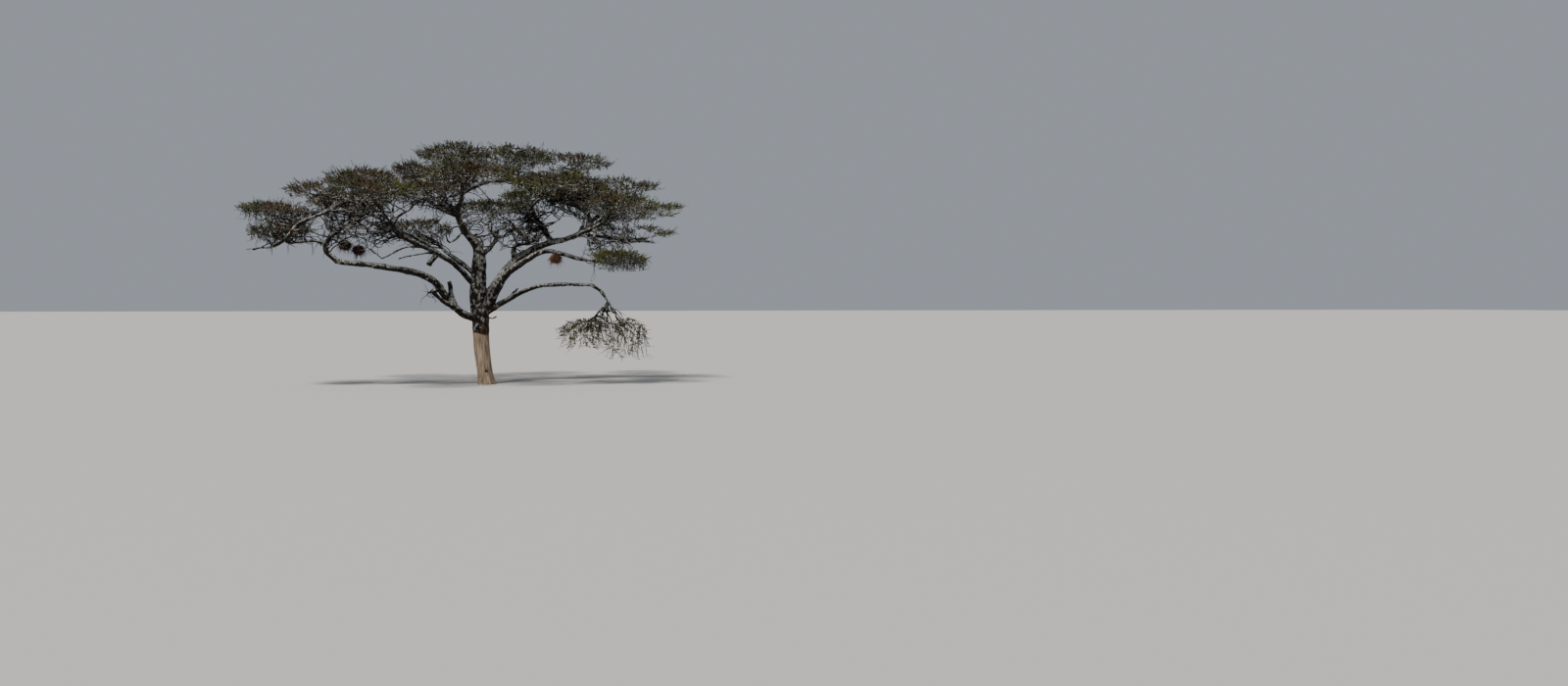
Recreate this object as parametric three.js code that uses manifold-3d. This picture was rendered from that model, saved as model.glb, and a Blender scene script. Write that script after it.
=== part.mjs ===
// Umbrella thorn acacia: a whole tree with a leaning trunk, long crooked limbs and a flat crown
// in layers. Lengths are in metres here and become millimetres when a solid is made; +Z is up.
// The origin is at ground level, in the middle of the flat cut under the trunk.
import * as THREE from 'three';
import { mergeVertices } from 'three/addons/utils/BufferGeometryUtils.js';
import Module from 'manifold-3d';

const wasm = await Module();
wasm.setup();

// Driving dimensions.
const MILLIMETRES = 1000;
const CLEARANCE = 0.0003; // between two pieces that meet
const TRUNK_SIDES = 10;
const LIMB_SIDES = 7;
const THIN_LIMB_SIDES = 5;
const THIN_LIMB_GIRTH = 0.1;
const TWIG_SIDES = 3;
const RING_SPACING = 0.55; // along a limb
const COLLAR_SWELL = 0.3; // how much wider a limb is where it leaves its parent
const COLLAR_LENGTH = 0.16;
const LIMB_WOBBLE = 0.12; // the range in which a limb's radius strays from its taper, of itself
const TRUNK_WOBBLE = 0.06; // the same for the trunk
const HUB_SHARE = 0.4; // how far a twig runs towards the middle of what it feeds
const SPRAYS_PER_HUB = 5;
const STEM_SHARE = 0.75; // a mass's stem, of its limb's tip
const FORK_THINNING = 0.75; // a twig after a fork, of the twig before it
const TWIG_RADIUS = 0.024; // the thinnest twig, thicker than life so that sprays sit well in it
const TWIG_OVERRUN = 1.6; // how far a twig runs on past its last sprays, of its radius
const BARE_TIP_RADIUS = 0.008;
const SPRAY_WIDTH = 0.55; // of its length
const MOST_SPRAY_WIDTH = 0.5;
const SPRAY_THICKNESS = 0.2; // of its length
const SPRAY_HEART = 0.58; // where it is widest, of its length
const SPRAY_ROLL = 2.4; // the range in which it may be rolled, in radians
const SPRAY_SINK = 0.012; // how far a spray's root starts behind its hub, inside the twig
const CROWN_SPRAYS = 8.8; // for each square metre of a mass's half width times its half depth
const HANGING_SPRAYS = 13; // the same for a mass that hangs
const EDGE_WOBBLE = 0.05; // how far in from its even place a spray's tip may lie
const TURN_WOBBLE = 0.5; // radians
const FLATNESS = 3; // how square a mass is seen from the side: 2 is an ellipse
const SPRAY_ROOM = 1.3; // how far out the sides of a spray may stand, of its mass's half size
const SPACE_MARGIN = 0.02; // share of a mass's size that is kept free towards the next mass
const NEARLY_ALONG = 0.1; // a sideways direction shorter than this is taken anew
const GOLDEN_ANGLE = Math.PI * (3 - Math.sqrt(5));

// The trunk runs up into the leader. Each line is one bend and the trunk's girth there.
const TRUNK = [
  { at: [0.02, 0, -0.2], girth: 0.5 },
  { at: [-0.04, 0, 0.45], girth: 0.5 },
  { at: [-0.13, 0, 1.25], girth: 0.55 },
  { at: [-0.16, 0, 1.95], girth: 0.54 },
  { at: [-0.19, 0, 2.5], girth: 0.6 },
  { at: [-0.22, 0, 3.15], girth: 0.54 },
  { at: [-0.2, 0, 4.1], girth: 0.44 },
  { at: [-0.28, 0, 4.7], girth: 0.3 },
  { at: [-0.72, 0, 5.2], girth: 0.22 },
  { at: [-0.87, 0, 5.7], girth: 0.18 },
  { at: [-0.73, 0, 6.3], girth: 0.13 },
  { at: [-0.73, 0, 6.7], girth: 0.1 },
];
const ROOT_FLARE = 0.32; // how much wider the trunk is at the ground
const FLARE_HEIGHT = 0.22;
const ROOT_LOBES = 5;
const LOBE_DEPTH = 0.12;

// Limbs, each on an earlier one. A limb starts on its parent's centre line, at the place nearest
// to its foot, bends through a few places and ends where its mass of foliage begins.
const LIMBS = {
  left_arm: {
    on: 'trunk', foot: [-0.2, 0, 2.15], tip: [-4.55, -1, 4.05], girth: [0.27, 0.15],
    bends: [[-0.8, -0.2, 2.42], [-1.15, -0.37, 2.75], [-1.6, -0.6, 3.42], [-2.4, -0.9, 3.77]],
  },
  left_arm_rise: {
    on: 'left_arm', foot: [-4.55, -1, 4.05], tip: [-3.6, -0.5, 5.94], girth: [0.15, 0.11],
    bends: [[-4.9, -1, 4.4], [-4.72, -1, 4.92], [-4.05, -0.8, 5.4]],
  },
  broken_limb: {
    on: 'left_arm', foot: [-0.95, -0.3, 2.5], tip: [-1.71, -0.9, 3.15], girth: [0.15, 0.11],
    bends: [[-1.35, -0.6, 2.8]],
  },
  dead_stub: {
    on: 'left_arm', foot: [-0.95, -0.28, 2.55], tip: [-1.17, -0.1, 3.45], girth: [0.17, 0.12],
    bends: [[-1.1, -0.13, 3]],
  },
  far_left_limb: {
    on: 'left_arm_rise', foot: [-3.75, -0.6, 5.73], tip: [-5.85, -0.5, 5.2], girth: [0.12, 0.07],
    bends: [[-4.1, -0.5, 6.02], [-5.04, -0.5, 5.66]],
  },
  far_left_low_limb: {
    on: 'left_arm_rise', foot: [-4.88, -1, 4.62], tip: [-6, -0.8, 4.6], girth: [0.07, 0.05],
    bends: [[-5.35, -1, 4.7]],
  },
  outer_left_limb: {
    on: 'far_left_limb', foot: [-4.25, -0.5, 6], tip: [-4.85, -0.3, 6.15], girth: [0.08, 0.06],
    bends: [],
  },
  inner_left_limb: {
    on: 'trunk', foot: [-0.2, 0, 3.2], tip: [-2.88, -1.2, 5.6], girth: [0.2, 0.1],
    bends: [[-0.79, -0.3, 3.82], [-1.46, -0.7, 4.34], [-2.4, -1.1, 4.75], [-2.83, -1.2, 5.08]],
  },
  back_low_left_limb: {
    on: 'trunk', foot: [-0.2, 0, 3.6], tip: [-1.65, 1.5, 4.88], girth: [0.17, 0.08],
    bends: [[-0.8, 0.4, 4.1], [-1.3, 1.1, 4.5]],
  },
  back_middle_limb: {
    on: 'trunk', foot: [-0.2, 0, 4.25], tip: [0.1, 2.5, 5.7], girth: [0.16, 0.07],
    bends: [[0.26, 0.6, 4.73], [0.38, 1.2, 5.02], [0.15, 1.9, 5.3]],
  },
  right_bough: {
    on: 'trunk', foot: [-0.2, 0, 2.6], tip: [3.62, 0.6, 5.62], girth: [0.34, 0.13],
    bends: [[0.04, 0.05, 2.94], [0.5, 0.2, 3.58], [0.94, 0.35, 4.12], [1.47, 0.5, 4.5],
      [2.1, 0.6, 4.78], [3.05, 0.6, 5.08], [3.45, 0.6, 5.32]],
  },
  right_low_limb: {
    on: 'trunk', foot: [-0.18, 0, 2.35], tip: [3.6, -1, 4.12], girth: [0.27, 0.09],
    bends: [[0.22, -0.12, 2.8], [0.44, -0.25, 3.28], [0.78, -0.45, 3.78], [1.3, -0.7, 4.14],
      [2, -0.95, 4.46], [2.9, -1, 4.24]],
  },
  low_right_limb: {
    on: 'trunk', foot: [-0.17, 0, 2.25], tip: [3.45, -1, 3.34], girth: [0.19, 0.1],
    bends: [[0.24, 0, 2.54], [0.95, -0.2, 2.97], [1.9, -0.8, 3.33]],
  },
  low_right_droop: {
    on: 'low_right_limb', foot: [3.45, -1, 3.34], tip: [4.15, -1, 2.45], girth: [0.1, 0.06],
    bends: [[3.76, -1, 3.12], [3.99, -1, 2.77]],
  },
  hanging_left_limb: {
    on: 'low_right_droop', foot: [4.03, -1, 2.7], tip: [3.55, -1, 2.28], girth: [0.06, 0.04],
    bends: [[3.78, -1, 2.54]],
  },
  right_inner_limb: {
    on: 'right_bough', foot: [2.24, 0.55, 4.85], tip: [1.55, 0.65, 6], girth: [0.15, 0.07],
    bends: [[1.85, 0.6, 5.35]],
  },
  top_right_limb: {
    on: 'trunk', foot: [-0.73, 0, 6.4], tip: [0.75, -0.05, 6.92], girth: [0.11, 0.07],
    bends: [[-0.1, 0, 6.72]],
  },
  top_left_limb: {
    on: 'trunk', foot: [-0.87, 0, 5.65], tip: [-1.95, -0.3, 6.48], girth: [0.12, 0.07],
    bends: [[-1.4, -0.2, 5.98]],
  },
  top_far_right_limb: {
    on: 'right_bough', foot: [3.52, 0.6, 5.42], tip: [2.75, 0.6, 7.05], girth: [0.17, 0.06],
    bends: [[3.5, 0.65, 5.8], [3.18, 0.65, 6.04], [2.93, 0.6, 6.3], [2.7, 0.6, 6.62]],
  },
  right_rim_high_limb: {
    on: 'right_bough', foot: [3.35, 0.6, 5.3], tip: [4.55, 0, 5.64], girth: [0.1, 0.06],
    bends: [[3.95, 0.35, 5.52]],
  },
  right_rim_low_limb: {
    on: 'right_bough', foot: [3, 0.6, 5.12], tip: [4.8, 0.5, 4.85], girth: [0.09, 0.06],
    bends: [[3.85, 0.65, 5.06]],
  },
  front_middle_limb: {
    on: 'trunk', foot: [-0.65, 0, 5.12], tip: [-0.65, -2.4, 6.25], girth: [0.16, 0.07],
    bends: [[-0.85, -1.2, 5.65]],
  },
  front_right_limb: {
    on: 'right_inner_limb', foot: [1.75, 0.6, 5.5], tip: [1.85, -1.6, 6.2], girth: [0.1, 0.06],
    bends: [[1.58, -0.4, 5.95]],
  },
  front_left_limb: {
    on: 'inner_left_limb', foot: [-2.5, -1.1, 4.8], tip: [-3.15, -2.4, 5.65], girth: [0.11, 0.06],
    bends: [[-2.85, -1.85, 5.2]],
  },
  front_far_right_limb: {
    on: 'right_bough', foot: [2.75, 0.6, 5.05], tip: [3.95, -1.6, 5.5], girth: [0.1, 0.06],
    bends: [[3.55, -0.4, 5.25]],
  },
  back_right_limb: {
    on: 'right_bough', foot: [3.15, 0.6, 5.18], tip: [3.55, 2.1, 6.05], girth: [0.11, 0.07],
    bends: [[3.4, 1.4, 5.62]],
  },
  back_left_limb: {
    on: 'left_arm_rise', foot: [-4.15, -0.85, 5.3], tip: [-4.5, 1.6, 5.75], girth: [0.1, 0.06],
    bends: [[-4.25, 0.4, 5.55]],
  },
  back_top_limb: {
    on: 'trunk', foot: [-0.8, 0, 5.4], tip: [-1.4, 1.75, 6.45], girth: [0.12, 0.07],
    bends: [[-1.05, 0.95, 5.9]],
  },
  dead_twig_upper: {
    on: 'inner_left_limb', foot: [-1.9, -0.9, 4.57], tip: [-3.2, -1.3, 4.15], girth: [0.06, 0.05],
    bends: [[-2.5, -1.15, 4.5]],
  },
  dead_twig_lower: {
    on: 'inner_left_limb', foot: [-1.55, -0.75, 4.4], tip: [-2.7, -1.1, 4.15], girth: [0.06, 0.04],
    bends: [[-2.1, -0.95, 4.3]],
  },
  dead_spur: {
    on: 'inner_left_limb', foot: [-1.5, -0.7, 4.36], tip: [-1.78, -0.85, 3.98], girth: [0.12, 0.17],
    bends: [],
  },
};

// Masses of foliage. Each fills a flattened round space: its middle, its half sizes along X, Y
// and Z, and the lowest and highest level, as shares of its half height, that its sprays reach.
// It grows from the tip of its limb, or from the place on the limb nearest to its foot. A mass
// with a droop hangs down by that much at its rim.
const CROWN_LEVELS = [-0.6, 1];
const HANGING_LEVELS = [-1, 0.7];
const MASSES = {
  top_middle: { on: 'trunk', middle: [-0.85, -0.1, 7.29], half: [1.4, 1.7, 0.64] },
  top_right: { on: 'top_right_limb', middle: [1.05, -0.2, 7.25], half: [1.3, 1.6, 0.62] },
  top_far_right: { on: 'top_far_right_limb', middle: [2.95, 0.5, 7.3], half: [1.4, 1.5, 0.44] },
  top_left: { on: 'top_left_limb', middle: [-2.05, -0.1, 6.82], half: [0.9, 1.4, 0.5] },
  middle_left: {
    on: 'trunk', foot: [-0.87, 0, 5.8], middle: [-1.6, -1.7, 6.15], half: [1, 1, 0.48],
  },
  upper_left: { on: 'left_arm_rise', middle: [-3.95, -0.2, 6.54], half: [1.2, 1.5, 0.5] },
  outer_left: { on: 'outer_left_limb', middle: [-5.2, 0, 6.1], half: [1.12, 1.4, 0.44] },
  inner_left: { on: 'inner_left_limb', middle: [-2.8, -1.3, 6.02], half: [0.95, 1.1, 0.46] },
  far_left_high: { on: 'far_left_limb', middle: [-6.42, -0.2, 5.48], half: [1.28, 1.3, 0.44] },
  far_left_low: { on: 'far_left_low_limb', middle: [-6.4, -0.6, 4.84], half: [0.95, 1, 0.4] },
  back_low_left: { on: 'back_low_left_limb', middle: [-2.35, 2.3, 5.1], half: [1.35, 1.2, 0.5] },
  back_middle: { on: 'back_middle_limb', middle: [0.4, 3.3, 6.02], half: [1.3, 1.5, 0.36] },
  right_inner: { on: 'right_inner_limb', middle: [1.6, 0.8, 6.26], half: [1.1, 1.2, 0.36] },
  right_shoulder: { on: 'right_bough', middle: [4.55, 0.4, 6.42], half: [1.42, 1.4, 0.54] },
  right_rim_high: {
    on: 'right_rim_high_limb', middle: [5.22, -0.3, 5.68], half: [1.5, 1.4, 0.46],
  },
  right_rim_low: { on: 'right_rim_low_limb', middle: [5.2, 0.6, 4.97], half: [1.32, 1.3, 0.46] },
  right_low: { on: 'right_low_limb', middle: [4.42, -1, 3.98], half: [1, 1.05, 0.5] },
  hanging_left: {
    on: 'hanging_left_limb', middle: [3.3, -1, 1.82], half: [1, 0.9, 0.56],
    levels: HANGING_LEVELS, droop: 0.25,
  },
  hanging_right: {
    on: 'low_right_droop', middle: [4.6, -1, 1.66], half: [0.8, 0.9, 0.8],
    levels: HANGING_LEVELS, droop: 0.3,
  },
  front_middle: { on: 'front_middle_limb', middle: [-0.5, -3.2, 6.55], half: [1.5, 1.6, 0.42] },
  front_right: { on: 'front_right_limb', middle: [2.3, -2.4, 6.35], half: [1.5, 1.5, 0.44] },
  front_left: { on: 'front_left_limb', middle: [-3.3, -3.1, 5.95], half: [1.4, 1.5, 0.46] },
  front_far_right: {
    on: 'front_far_right_limb', middle: [4.25, -2.5, 5.75], half: [1.3, 1.3, 0.44],
  },
  back_right: { on: 'back_right_limb', middle: [3.6, 2.9, 6.4], half: [1.5, 1.6, 0.48] },
  back_left: { on: 'back_left_limb', middle: [-4.6, 2.5, 6], half: [1.4, 1.5, 0.48] },
  back_top: { on: 'back_top_limb', middle: [-1.5, 2.6, 6.8], half: [1.4, 1.5, 0.48] },
  bare_left: {
    on: 'left_arm_rise', foot: [-3.95, -0.72, 5.55], middle: [-3.85, -1.05, 4.95],
    half: [0.8, 0.8, 0.6], levels: HANGING_LEVELS, bare: true,
  },
};

// Old nests of dry grass, hanging under the twigs: their middle and their width and height.
const NEST_WIDTH = 0.4;
const NEST_HEIGHT = 0.36;
const NEST_ROUGHNESS = 0.15;
const TWIG_NESTS = { bare_left: [[-4.34, -1, 4.55], [-3.93, -1, 4.4]] };
const LIMB_NEST = { on: 'right_low_limb', middle: [2.28, -1, 4.2] };

// Colours and finishes read from the tree.
const BARK = { color: 0x6a6258, roughness: 0.95, metalness: 0 };
const RUBBED_BARK = { color: 0x79685a, roughness: 0.85, metalness: 0 };
const FOLIAGE = { color: 0x4a4a36, roughness: 0.9, metalness: 0 };
const DRY_GRASS = { color: 0x4a3426, roughness: 1, metalness: 0 };

const vector = (place) => new THREE.Vector3(...place);

// A repeatable stream of numbers from 0 to 1, started by a name: each state, a whole number of
// 32 bits, is a fixed multiple of the one before it plus a fixed step.
function seededBy(name) {
  let state = 17;
  for (const letter of name) {
    state = (Math.imul(state, 31) + letter.charCodeAt(0)) >>> 0;
  }
  return () => {
    state = (Math.imul(state, 1664525) + 1013904223) >>> 0;
    return state / 2 ** 32;
  };
}

// Turns points and triangles in metres into a solid in millimetres.
function toSolid(points, triangles) {
  const vertProperties = new Float32Array(points.flatMap((p) => [p.x, p.y, p.z]));
  vertProperties.forEach((value, i) => {
    vertProperties[i] = value * MILLIMETRES;
  });
  const triVerts = new Uint32Array(triangles.flat());
  return new wasm.Manifold(new wasm.Mesh({ numProp: 3, vertProperties, triVerts }));
}

// The corners and triangles of a three.js geometry, once the corners that its faces share are one.
function cornersOf(geometry) {
  geometry.deleteAttribute('normal');
  geometry.deleteAttribute('uv');
  const merged = mergeVertices(geometry);
  const position = merged.getAttribute('position');
  const index = merged.getIndex().array;
  const points = Array.from(
    { length: position.count },
    (_, i) => new THREE.Vector3().fromBufferAttribute(position, i),
  );
  const triangles = Array.from(
    { length: index.length / 3 },
    (_, i) => [...index.slice(3 * i, 3 * i + 3)],
  );
  return { points, triangles };
}

// Moves the last place on, so that what is cut by a swollen limb stays clear of its end too.
function lengthenTip(centres, distance) {
  const [before, last] = centres.slice(-2);
  last.addScaledVector(last.clone().sub(before).normalize(), distance);
}

// A closed tube through the centres, with a radius for each ring and direction round it.
function tube(centres, radiusAt, sides) {
  const last = centres.length - 1;
  const points = [];
  const triangles = [];
  let across = new THREE.Vector3(1, 0, 0);
  centres.forEach((centre, ring) => {
    const before = centres[Math.max(ring - 1, 0)];
    const after = centres[Math.min(ring + 1, last)];
    const along = after.clone().sub(before).normalize();
    across = across.clone().addScaledVector(along, -across.dot(along));
    if (across.length() < NEARLY_ALONG) {
      across.set(0, 1, 0).addScaledVector(along, -along.y);
    }
    across.normalize();
    const over = along.clone().cross(across);
    for (let side = 0; side < sides; side += 1) {
      const turn = (2 * Math.PI * side) / sides;
      const radius = radiusAt(ring, turn);
      const point = centre.clone().addScaledVector(across, radius * Math.cos(turn));
      points.push(point.addScaledVector(over, radius * Math.sin(turn)));
    }
  });
  for (let ring = 0; ring < last; ring += 1) {
    for (let side = 0; side < sides; side += 1) {
      const next = (side + 1) % sides;
      const a = ring * sides + side;
      const b = ring * sides + next;
      triangles.push([a, b, b + sides], [a, b + sides, a + sides]);
    }
  }
  for (let side = 1; side < sides - 1; side += 1) {
    triangles.push([0, side + 1, side]);
    triangles.push([last * sides, last * sides + side, last * sides + side + 1]);
  }
  return toSolid(points, triangles);
}

// The piece that is left when a cut leaves loose scraps: the largest one.
function largestPiece(solid) {
  const pieces = solid.decompose();
  pieces.sort((a, b) => b.volume() - a.volume());
  return pieces[0];
}

function boxesMeet(a, b) {
  const one = a.boundingBox();
  const two = b.boundingBox();
  return [0, 1, 2].every((axis) => one.min[axis] < two.max[axis] && two.min[axis] < one.max[axis]);
}

const overlaps = (a, b) => boxesMeet(a, b) && a.intersect(b).volume() > 0;

// The place on a curve nearest to a point, as a share of the curve's length.
function nearestShare(curve, point) {
  const STEPS = 200;
  let best = 0;
  for (let step = 1; step <= STEPS; step += 1) {
    const nearer = curve.getPointAt(step / STEPS).distanceTo(point);
    if (nearer < curve.getPointAt(best / STEPS).distanceTo(point)) {
      best = step;
    }
  }
  return best / STEPS;
}

// The trunk: rings along its bends, wider and lobed where the roots begin, cut flat at the ground.
function trunkSolid(swell) {
  const bends = TRUNK.map((bend) => vector(bend.at));
  const curve = new THREE.CatmullRomCurve3(bends, false, 'centripetal');
  const RINGS_PER_BEND = 2;
  const rings = (TRUNK.length - 1) * RINGS_PER_BEND;
  const centres = curve.getPoints(rings);
  const next = seededBy('trunk');
  const strays = centres.map(() => 1 + TRUNK_WOBBLE * (next() - 0.5));
  const radiusAt = (ring, turn) => {
    const place = ring / RINGS_PER_BEND;
    const lower = TRUNK[Math.floor(place)].girth;
    const upper = TRUNK[Math.min(Math.floor(place) + 1, TRUNK.length - 1)].girth;
    const girth = THREE.MathUtils.lerp(lower, upper, place % 1);
    const flare = Math.exp(-Math.max(centres[ring].z, 0) / FLARE_HEIGHT);
    const lobes = 1 + LOBE_DEPTH * Math.cos(ROOT_LOBES * turn) * flare;
    return (girth / 2) * strays[ring] * (1 + ROOT_FLARE * flare) * lobes + swell;
  };
  lengthenTip(centres, swell);
  const block = new THREE.BoxGeometry(2, 2, 1);
  block.translate(0, 0, -0.5);
  const { points, triangles } = cornersOf(block);
  const ground = toSolid(points, triangles);
  return {
    curve,
    solid: tube(centres, radiusAt, TRUNK_SIDES).subtract(ground),
    tipRadius: TRUNK.at(-1).girth / 2,
  };
}

// A limb: a tapering tube with a collar at its foot and a slightly uneven girth.
function limbSolid(name, limb, parent, swell) {
  const foot = parent.curve.getPointAt(nearestShare(parent.curve, vector(limb.foot)));
  const places = [foot, ...limb.bends.map(vector), vector(limb.tip)];
  const curve = new THREE.CatmullRomCurve3(places, false, 'centripetal');
  const length = curve.getLength();
  const rings = Math.max(2, Math.round(length / RING_SPACING));
  const centres = curve.getSpacedPoints(rings);
  const next = seededBy(name);
  const strays = centres.map(() => 1 + LIMB_WOBBLE * (next() - 0.5));
  const [footGirth, tipGirth] = limb.girth;
  const radiusAt = (ring) => {
    const share = ring / rings;
    const collar = COLLAR_SWELL * Math.exp((-share * length) / COLLAR_LENGTH);
    return (THREE.MathUtils.lerp(footGirth, tipGirth, share) / 2) * (strays[ring] + collar) + swell;
  };
  lengthenTip(centres, swell);
  const sides = tipGirth < THIN_LIMB_GIRTH ? THIN_LIMB_SIDES : LIMB_SIDES;
  return { curve, solid: tube(centres, radiusAt, sides), tipRadius: tipGirth / 2 };
}

// All the limbs, each cut clear of those before it.
function growLimbs() {
  const limbs = { trunk: trunkSolid(0) };
  const swollen = { trunk: trunkSolid(CLEARANCE) };
  for (const [name, limb] of Object.entries(LIMBS)) {
    const grown = limbSolid(name, limb, limbs[limb.on], 0);
    for (const other of Object.values(swollen)) {
      if (boxesMeet(grown.solid, other.solid)) {
        grown.solid = grown.solid.subtract(other.solid);
      }
    }
    grown.solid = largestPiece(grown.solid);
    limbs[name] = grown;
    swollen[name] = limbSolid(name, limb, limbs[limb.on], CLEARANCE);
  }
  return { limbs, swollen };
}

// How far out a point lies in a mass: 0 in its middle and 1 on its outer face.
function depthIn(mass, point) {
  const [x, y, z] = mass.middle;
  const [a, b, c] = mass.half;
  const plan = Math.hypot((point.x - x) / a, (point.y - y) / b);
  return (plan ** FLATNESS + Math.abs((point.z - z) / c) ** FLATNESS) ** (1 / FLATNESS);
}

// A point is a mass's own where it lies in its room and deeper in it than in any other mass.
function isOwn(name, point) {
  const depth = depthIn(MASSES[name], point);
  const others = Object.keys(MASSES).filter((other) => other !== name);
  return depth <= SPRAY_ROOM
    && others.every((other) => depth + SPACE_MARGIN < depthIn(MASSES[other], point));
}

// The places that a mass's sprays reach: evenly spread in plan, near the roof of its space.
function sprayTips(name) {
  const mass = MASSES[name];
  const [a, b, c] = mass.half;
  const [low, high] = mass.levels ?? CROWN_LEVELS;
  const count = Math.round((mass.levels ? HANGING_SPRAYS : CROWN_SPRAYS) * a * b);
  const next = seededBy(name);
  const tips = [];
  for (let i = 0; i < count; i += 1) {
    const out = Math.sqrt((i + 1) / count) * (1 - EDGE_WOBBLE * next());
    const turn = i * GOLDEN_ANGLE + TURN_WOBBLE * (next() - 0.5);
    const level = THREE.MathUtils.lerp(high, low, next() ** 2);
    const roof = Math.max(1 - out ** FLATNESS, 0) ** (1 / FLATNESS);
    const rise = c * roof * level - (mass.droop ?? 0) * out ** 2;
    const tip = new THREE.Vector3(a * out * Math.cos(turn), b * out * Math.sin(turn), rise);
    tip.add(vector(mass.middle));
    if (isOwn(name, tip)) {
      tips.push(tip);
    }
  }
  return tips;
}

const middleOf = (points) => points
  .reduce((sum, point) => sum.add(point), new THREE.Vector3())
  .divideScalar(points.length);

// Shares points out into groups of even size along the way in which they spread most.
function shareOut(points, groups) {
  const box = new THREE.Box3().setFromPoints(points);
  const size = box.getSize(new THREE.Vector3());
  const axis = size.x > size.y ? 'x' : 'y';
  const sorted = [...points].sort((p, q) => p[axis] - q[axis]);
  return Array.from({ length: groups }, (_, group) => sorted.slice(
    Math.round((group * points.length) / groups),
    Math.round(((group + 1) * points.length) / groups),
  ));
}

// A twig runs on, from its last place, part of the way to the middle of the tips that it feeds.
// There it forks: one group of tips stays with it and each other group gets a twig of its own.
// Where only a few tips are left each gets its spray, or a last bare twig.
function grow(twig, tips, radius, pieces, next, bare) {
  const hub = twig.places.at(-1).clone().lerp(middleOf(tips), HUB_SHARE);
  twig.places.push(hub);
  twig.radii.push(radius);
  if (tips.length <= SPRAYS_PER_HUB) {
    const along = hub.clone().sub(twig.places.at(-2)).normalize();
    twig.places.push(hub.clone().addScaledVector(along, radius * TWIG_OVERRUN));
    twig.radii.push(radius);
    for (const tip of tips) {
      if (bare) {
        pieces.twigs.push({ places: [hub, tip], radii: [radius * FORK_THINNING, BARE_TIP_RADIUS] });
      } else {
        pieces.sprays.push({ root: hub, tip, roll: next() - 0.5 });
      }
    }
    return;
  }
  const groups = shareOut(tips, tips.length > 3 * SPRAYS_PER_HUB ? 3 : 2);
  const thinner = Math.max(radius * FORK_THINNING, TWIG_RADIUS);
  const straightest = Math.floor(groups.length / 2);
  groups.forEach((group, i) => {
    const fork = i === straightest ? twig : { places: [hub], radii: [thinner * FORK_THINNING] };
    if (fork !== twig) {
      pieces.twigs.push(fork);
    }
    grow(fork, group, thinner, pieces, next, bare);
  });
}

const twigSolid = ({ places, radii }) => tube(places, (ring) => radii[ring], TWIG_SIDES);

// A spray of leaves: a flat blade of eight faces, widest past its middle, rolled a little.
function spraySolid({ root, tip, roll }) {
  const along = tip.clone().sub(root).normalize();
  const start = root.clone().addScaledVector(along, -SPRAY_SINK);
  const length = tip.distanceTo(start);
  const across = new THREE.Vector3(0, 0, 1).cross(along).normalize();
  across.applyAxisAngle(along, roll * SPRAY_ROLL);
  const over = along.clone().cross(across);
  const heart = start.clone().addScaledVector(along, length * SPRAY_HEART);
  const half = Math.min(length * SPRAY_WIDTH, MOST_SPRAY_WIDTH) / 2;
  const thick = (length * SPRAY_THICKNESS) / 2;
  const points = [
    start,
    tip,
    heart.clone().addScaledVector(across, half),
    heart.clone().addScaledVector(across, -half),
    heart.clone().addScaledVector(over, thick),
    heart.clone().addScaledVector(over, -thick),
  ];
  const triangles = [
    [0, 4, 2], [0, 3, 4], [0, 5, 3], [0, 2, 5],
    [1, 2, 4], [1, 4, 3], [1, 3, 5], [1, 5, 2],
  ];
  return { solid: toSolid(points, triangles), points };
}

// A nest: a rough ball of dry grass with an uneven surface.
function nestSolid(middle, name) {
  const { points, triangles } = cornersOf(new THREE.IcosahedronGeometry(0.5, 1));
  const size = new THREE.Vector3(NEST_WIDTH, NEST_WIDTH, NEST_HEIGHT);
  const next = seededBy(name);
  for (const point of points) {
    const bulge = THREE.MathUtils.lerp(1 - NEST_ROUGHNESS, 1 + NEST_ROUGHNESS, next());
    point.multiplyScalar(bulge).multiply(size).add(vector(middle));
  }
  return toSolid(points, triangles);
}

// The nests of a mass, each hanging by a twig from the nearest fork of the mass's own twigs.
function hungNests(name, twigs) {
  const forks = twigs.flatMap((twig) => twig.places.slice(1));
  return (TWIG_NESTS[name] ?? []).flatMap((place, i) => {
    const middle = vector(place);
    forks.sort((p, q) => p.distanceTo(middle) - q.distanceTo(middle));
    const hanger = { places: [forks[0], middle], radii: [TWIG_RADIUS, TWIG_RADIUS] };
    return [twigSolid(hanger), nestSolid(place, `${name}_nest_${i}`)];
  });
}

// One mass: its stem, twigs and sprays fused, cut clear of its limb. What would leave the mass's
// space, or touch a limb or an earlier mass, is skipped.
function massSolid(name, limbs, swollen, earlier) {
  const mass = MASSES[name];
  const limb = limbs[mass.on];
  const share = mass.foot ? nearestShare(limb.curve, vector(mass.foot)) : 1;
  const back = limb.tipRadius / limb.curve.getLength();
  const start = limb.curve.getPointAt(Math.min(share, 1 - back));
  const stemRadius = limb.tipRadius * STEM_SHARE;
  const stem = { places: [start], radii: [stemRadius] };
  const pieces = { twigs: [stem], sprays: [] };
  grow(stem, sprayTips(name), stemRadius, pieces, seededBy(`${name}_roll`), mass.bare);
  const isClear = (solid) => Object.values(limbs).every((other) => !overlaps(solid, other.solid))
    && earlier.every((other) => !overlaps(solid, other));
  const twigs = pieces.twigs.filter((twig) => twig === stem || isClear(twigSolid(twig)));
  const kept = twigs.map(twigSolid);
  for (const spray of pieces.sprays) {
    const { solid, points } = spraySolid(spray);
    if (points.slice(1).every((point) => isOwn(name, point)) && isClear(solid)) {
      kept.push(solid);
    }
  }
  kept.push(...hungNests(name, twigs));
  const union = wasm.Manifold.union(kept);
  const near = Object.values(swollen).filter((other) => boxesMeet(union, other.solid));
  return largestPiece(near.reduce((rest, other) => rest.subtract(other.solid), union));
}

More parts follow.
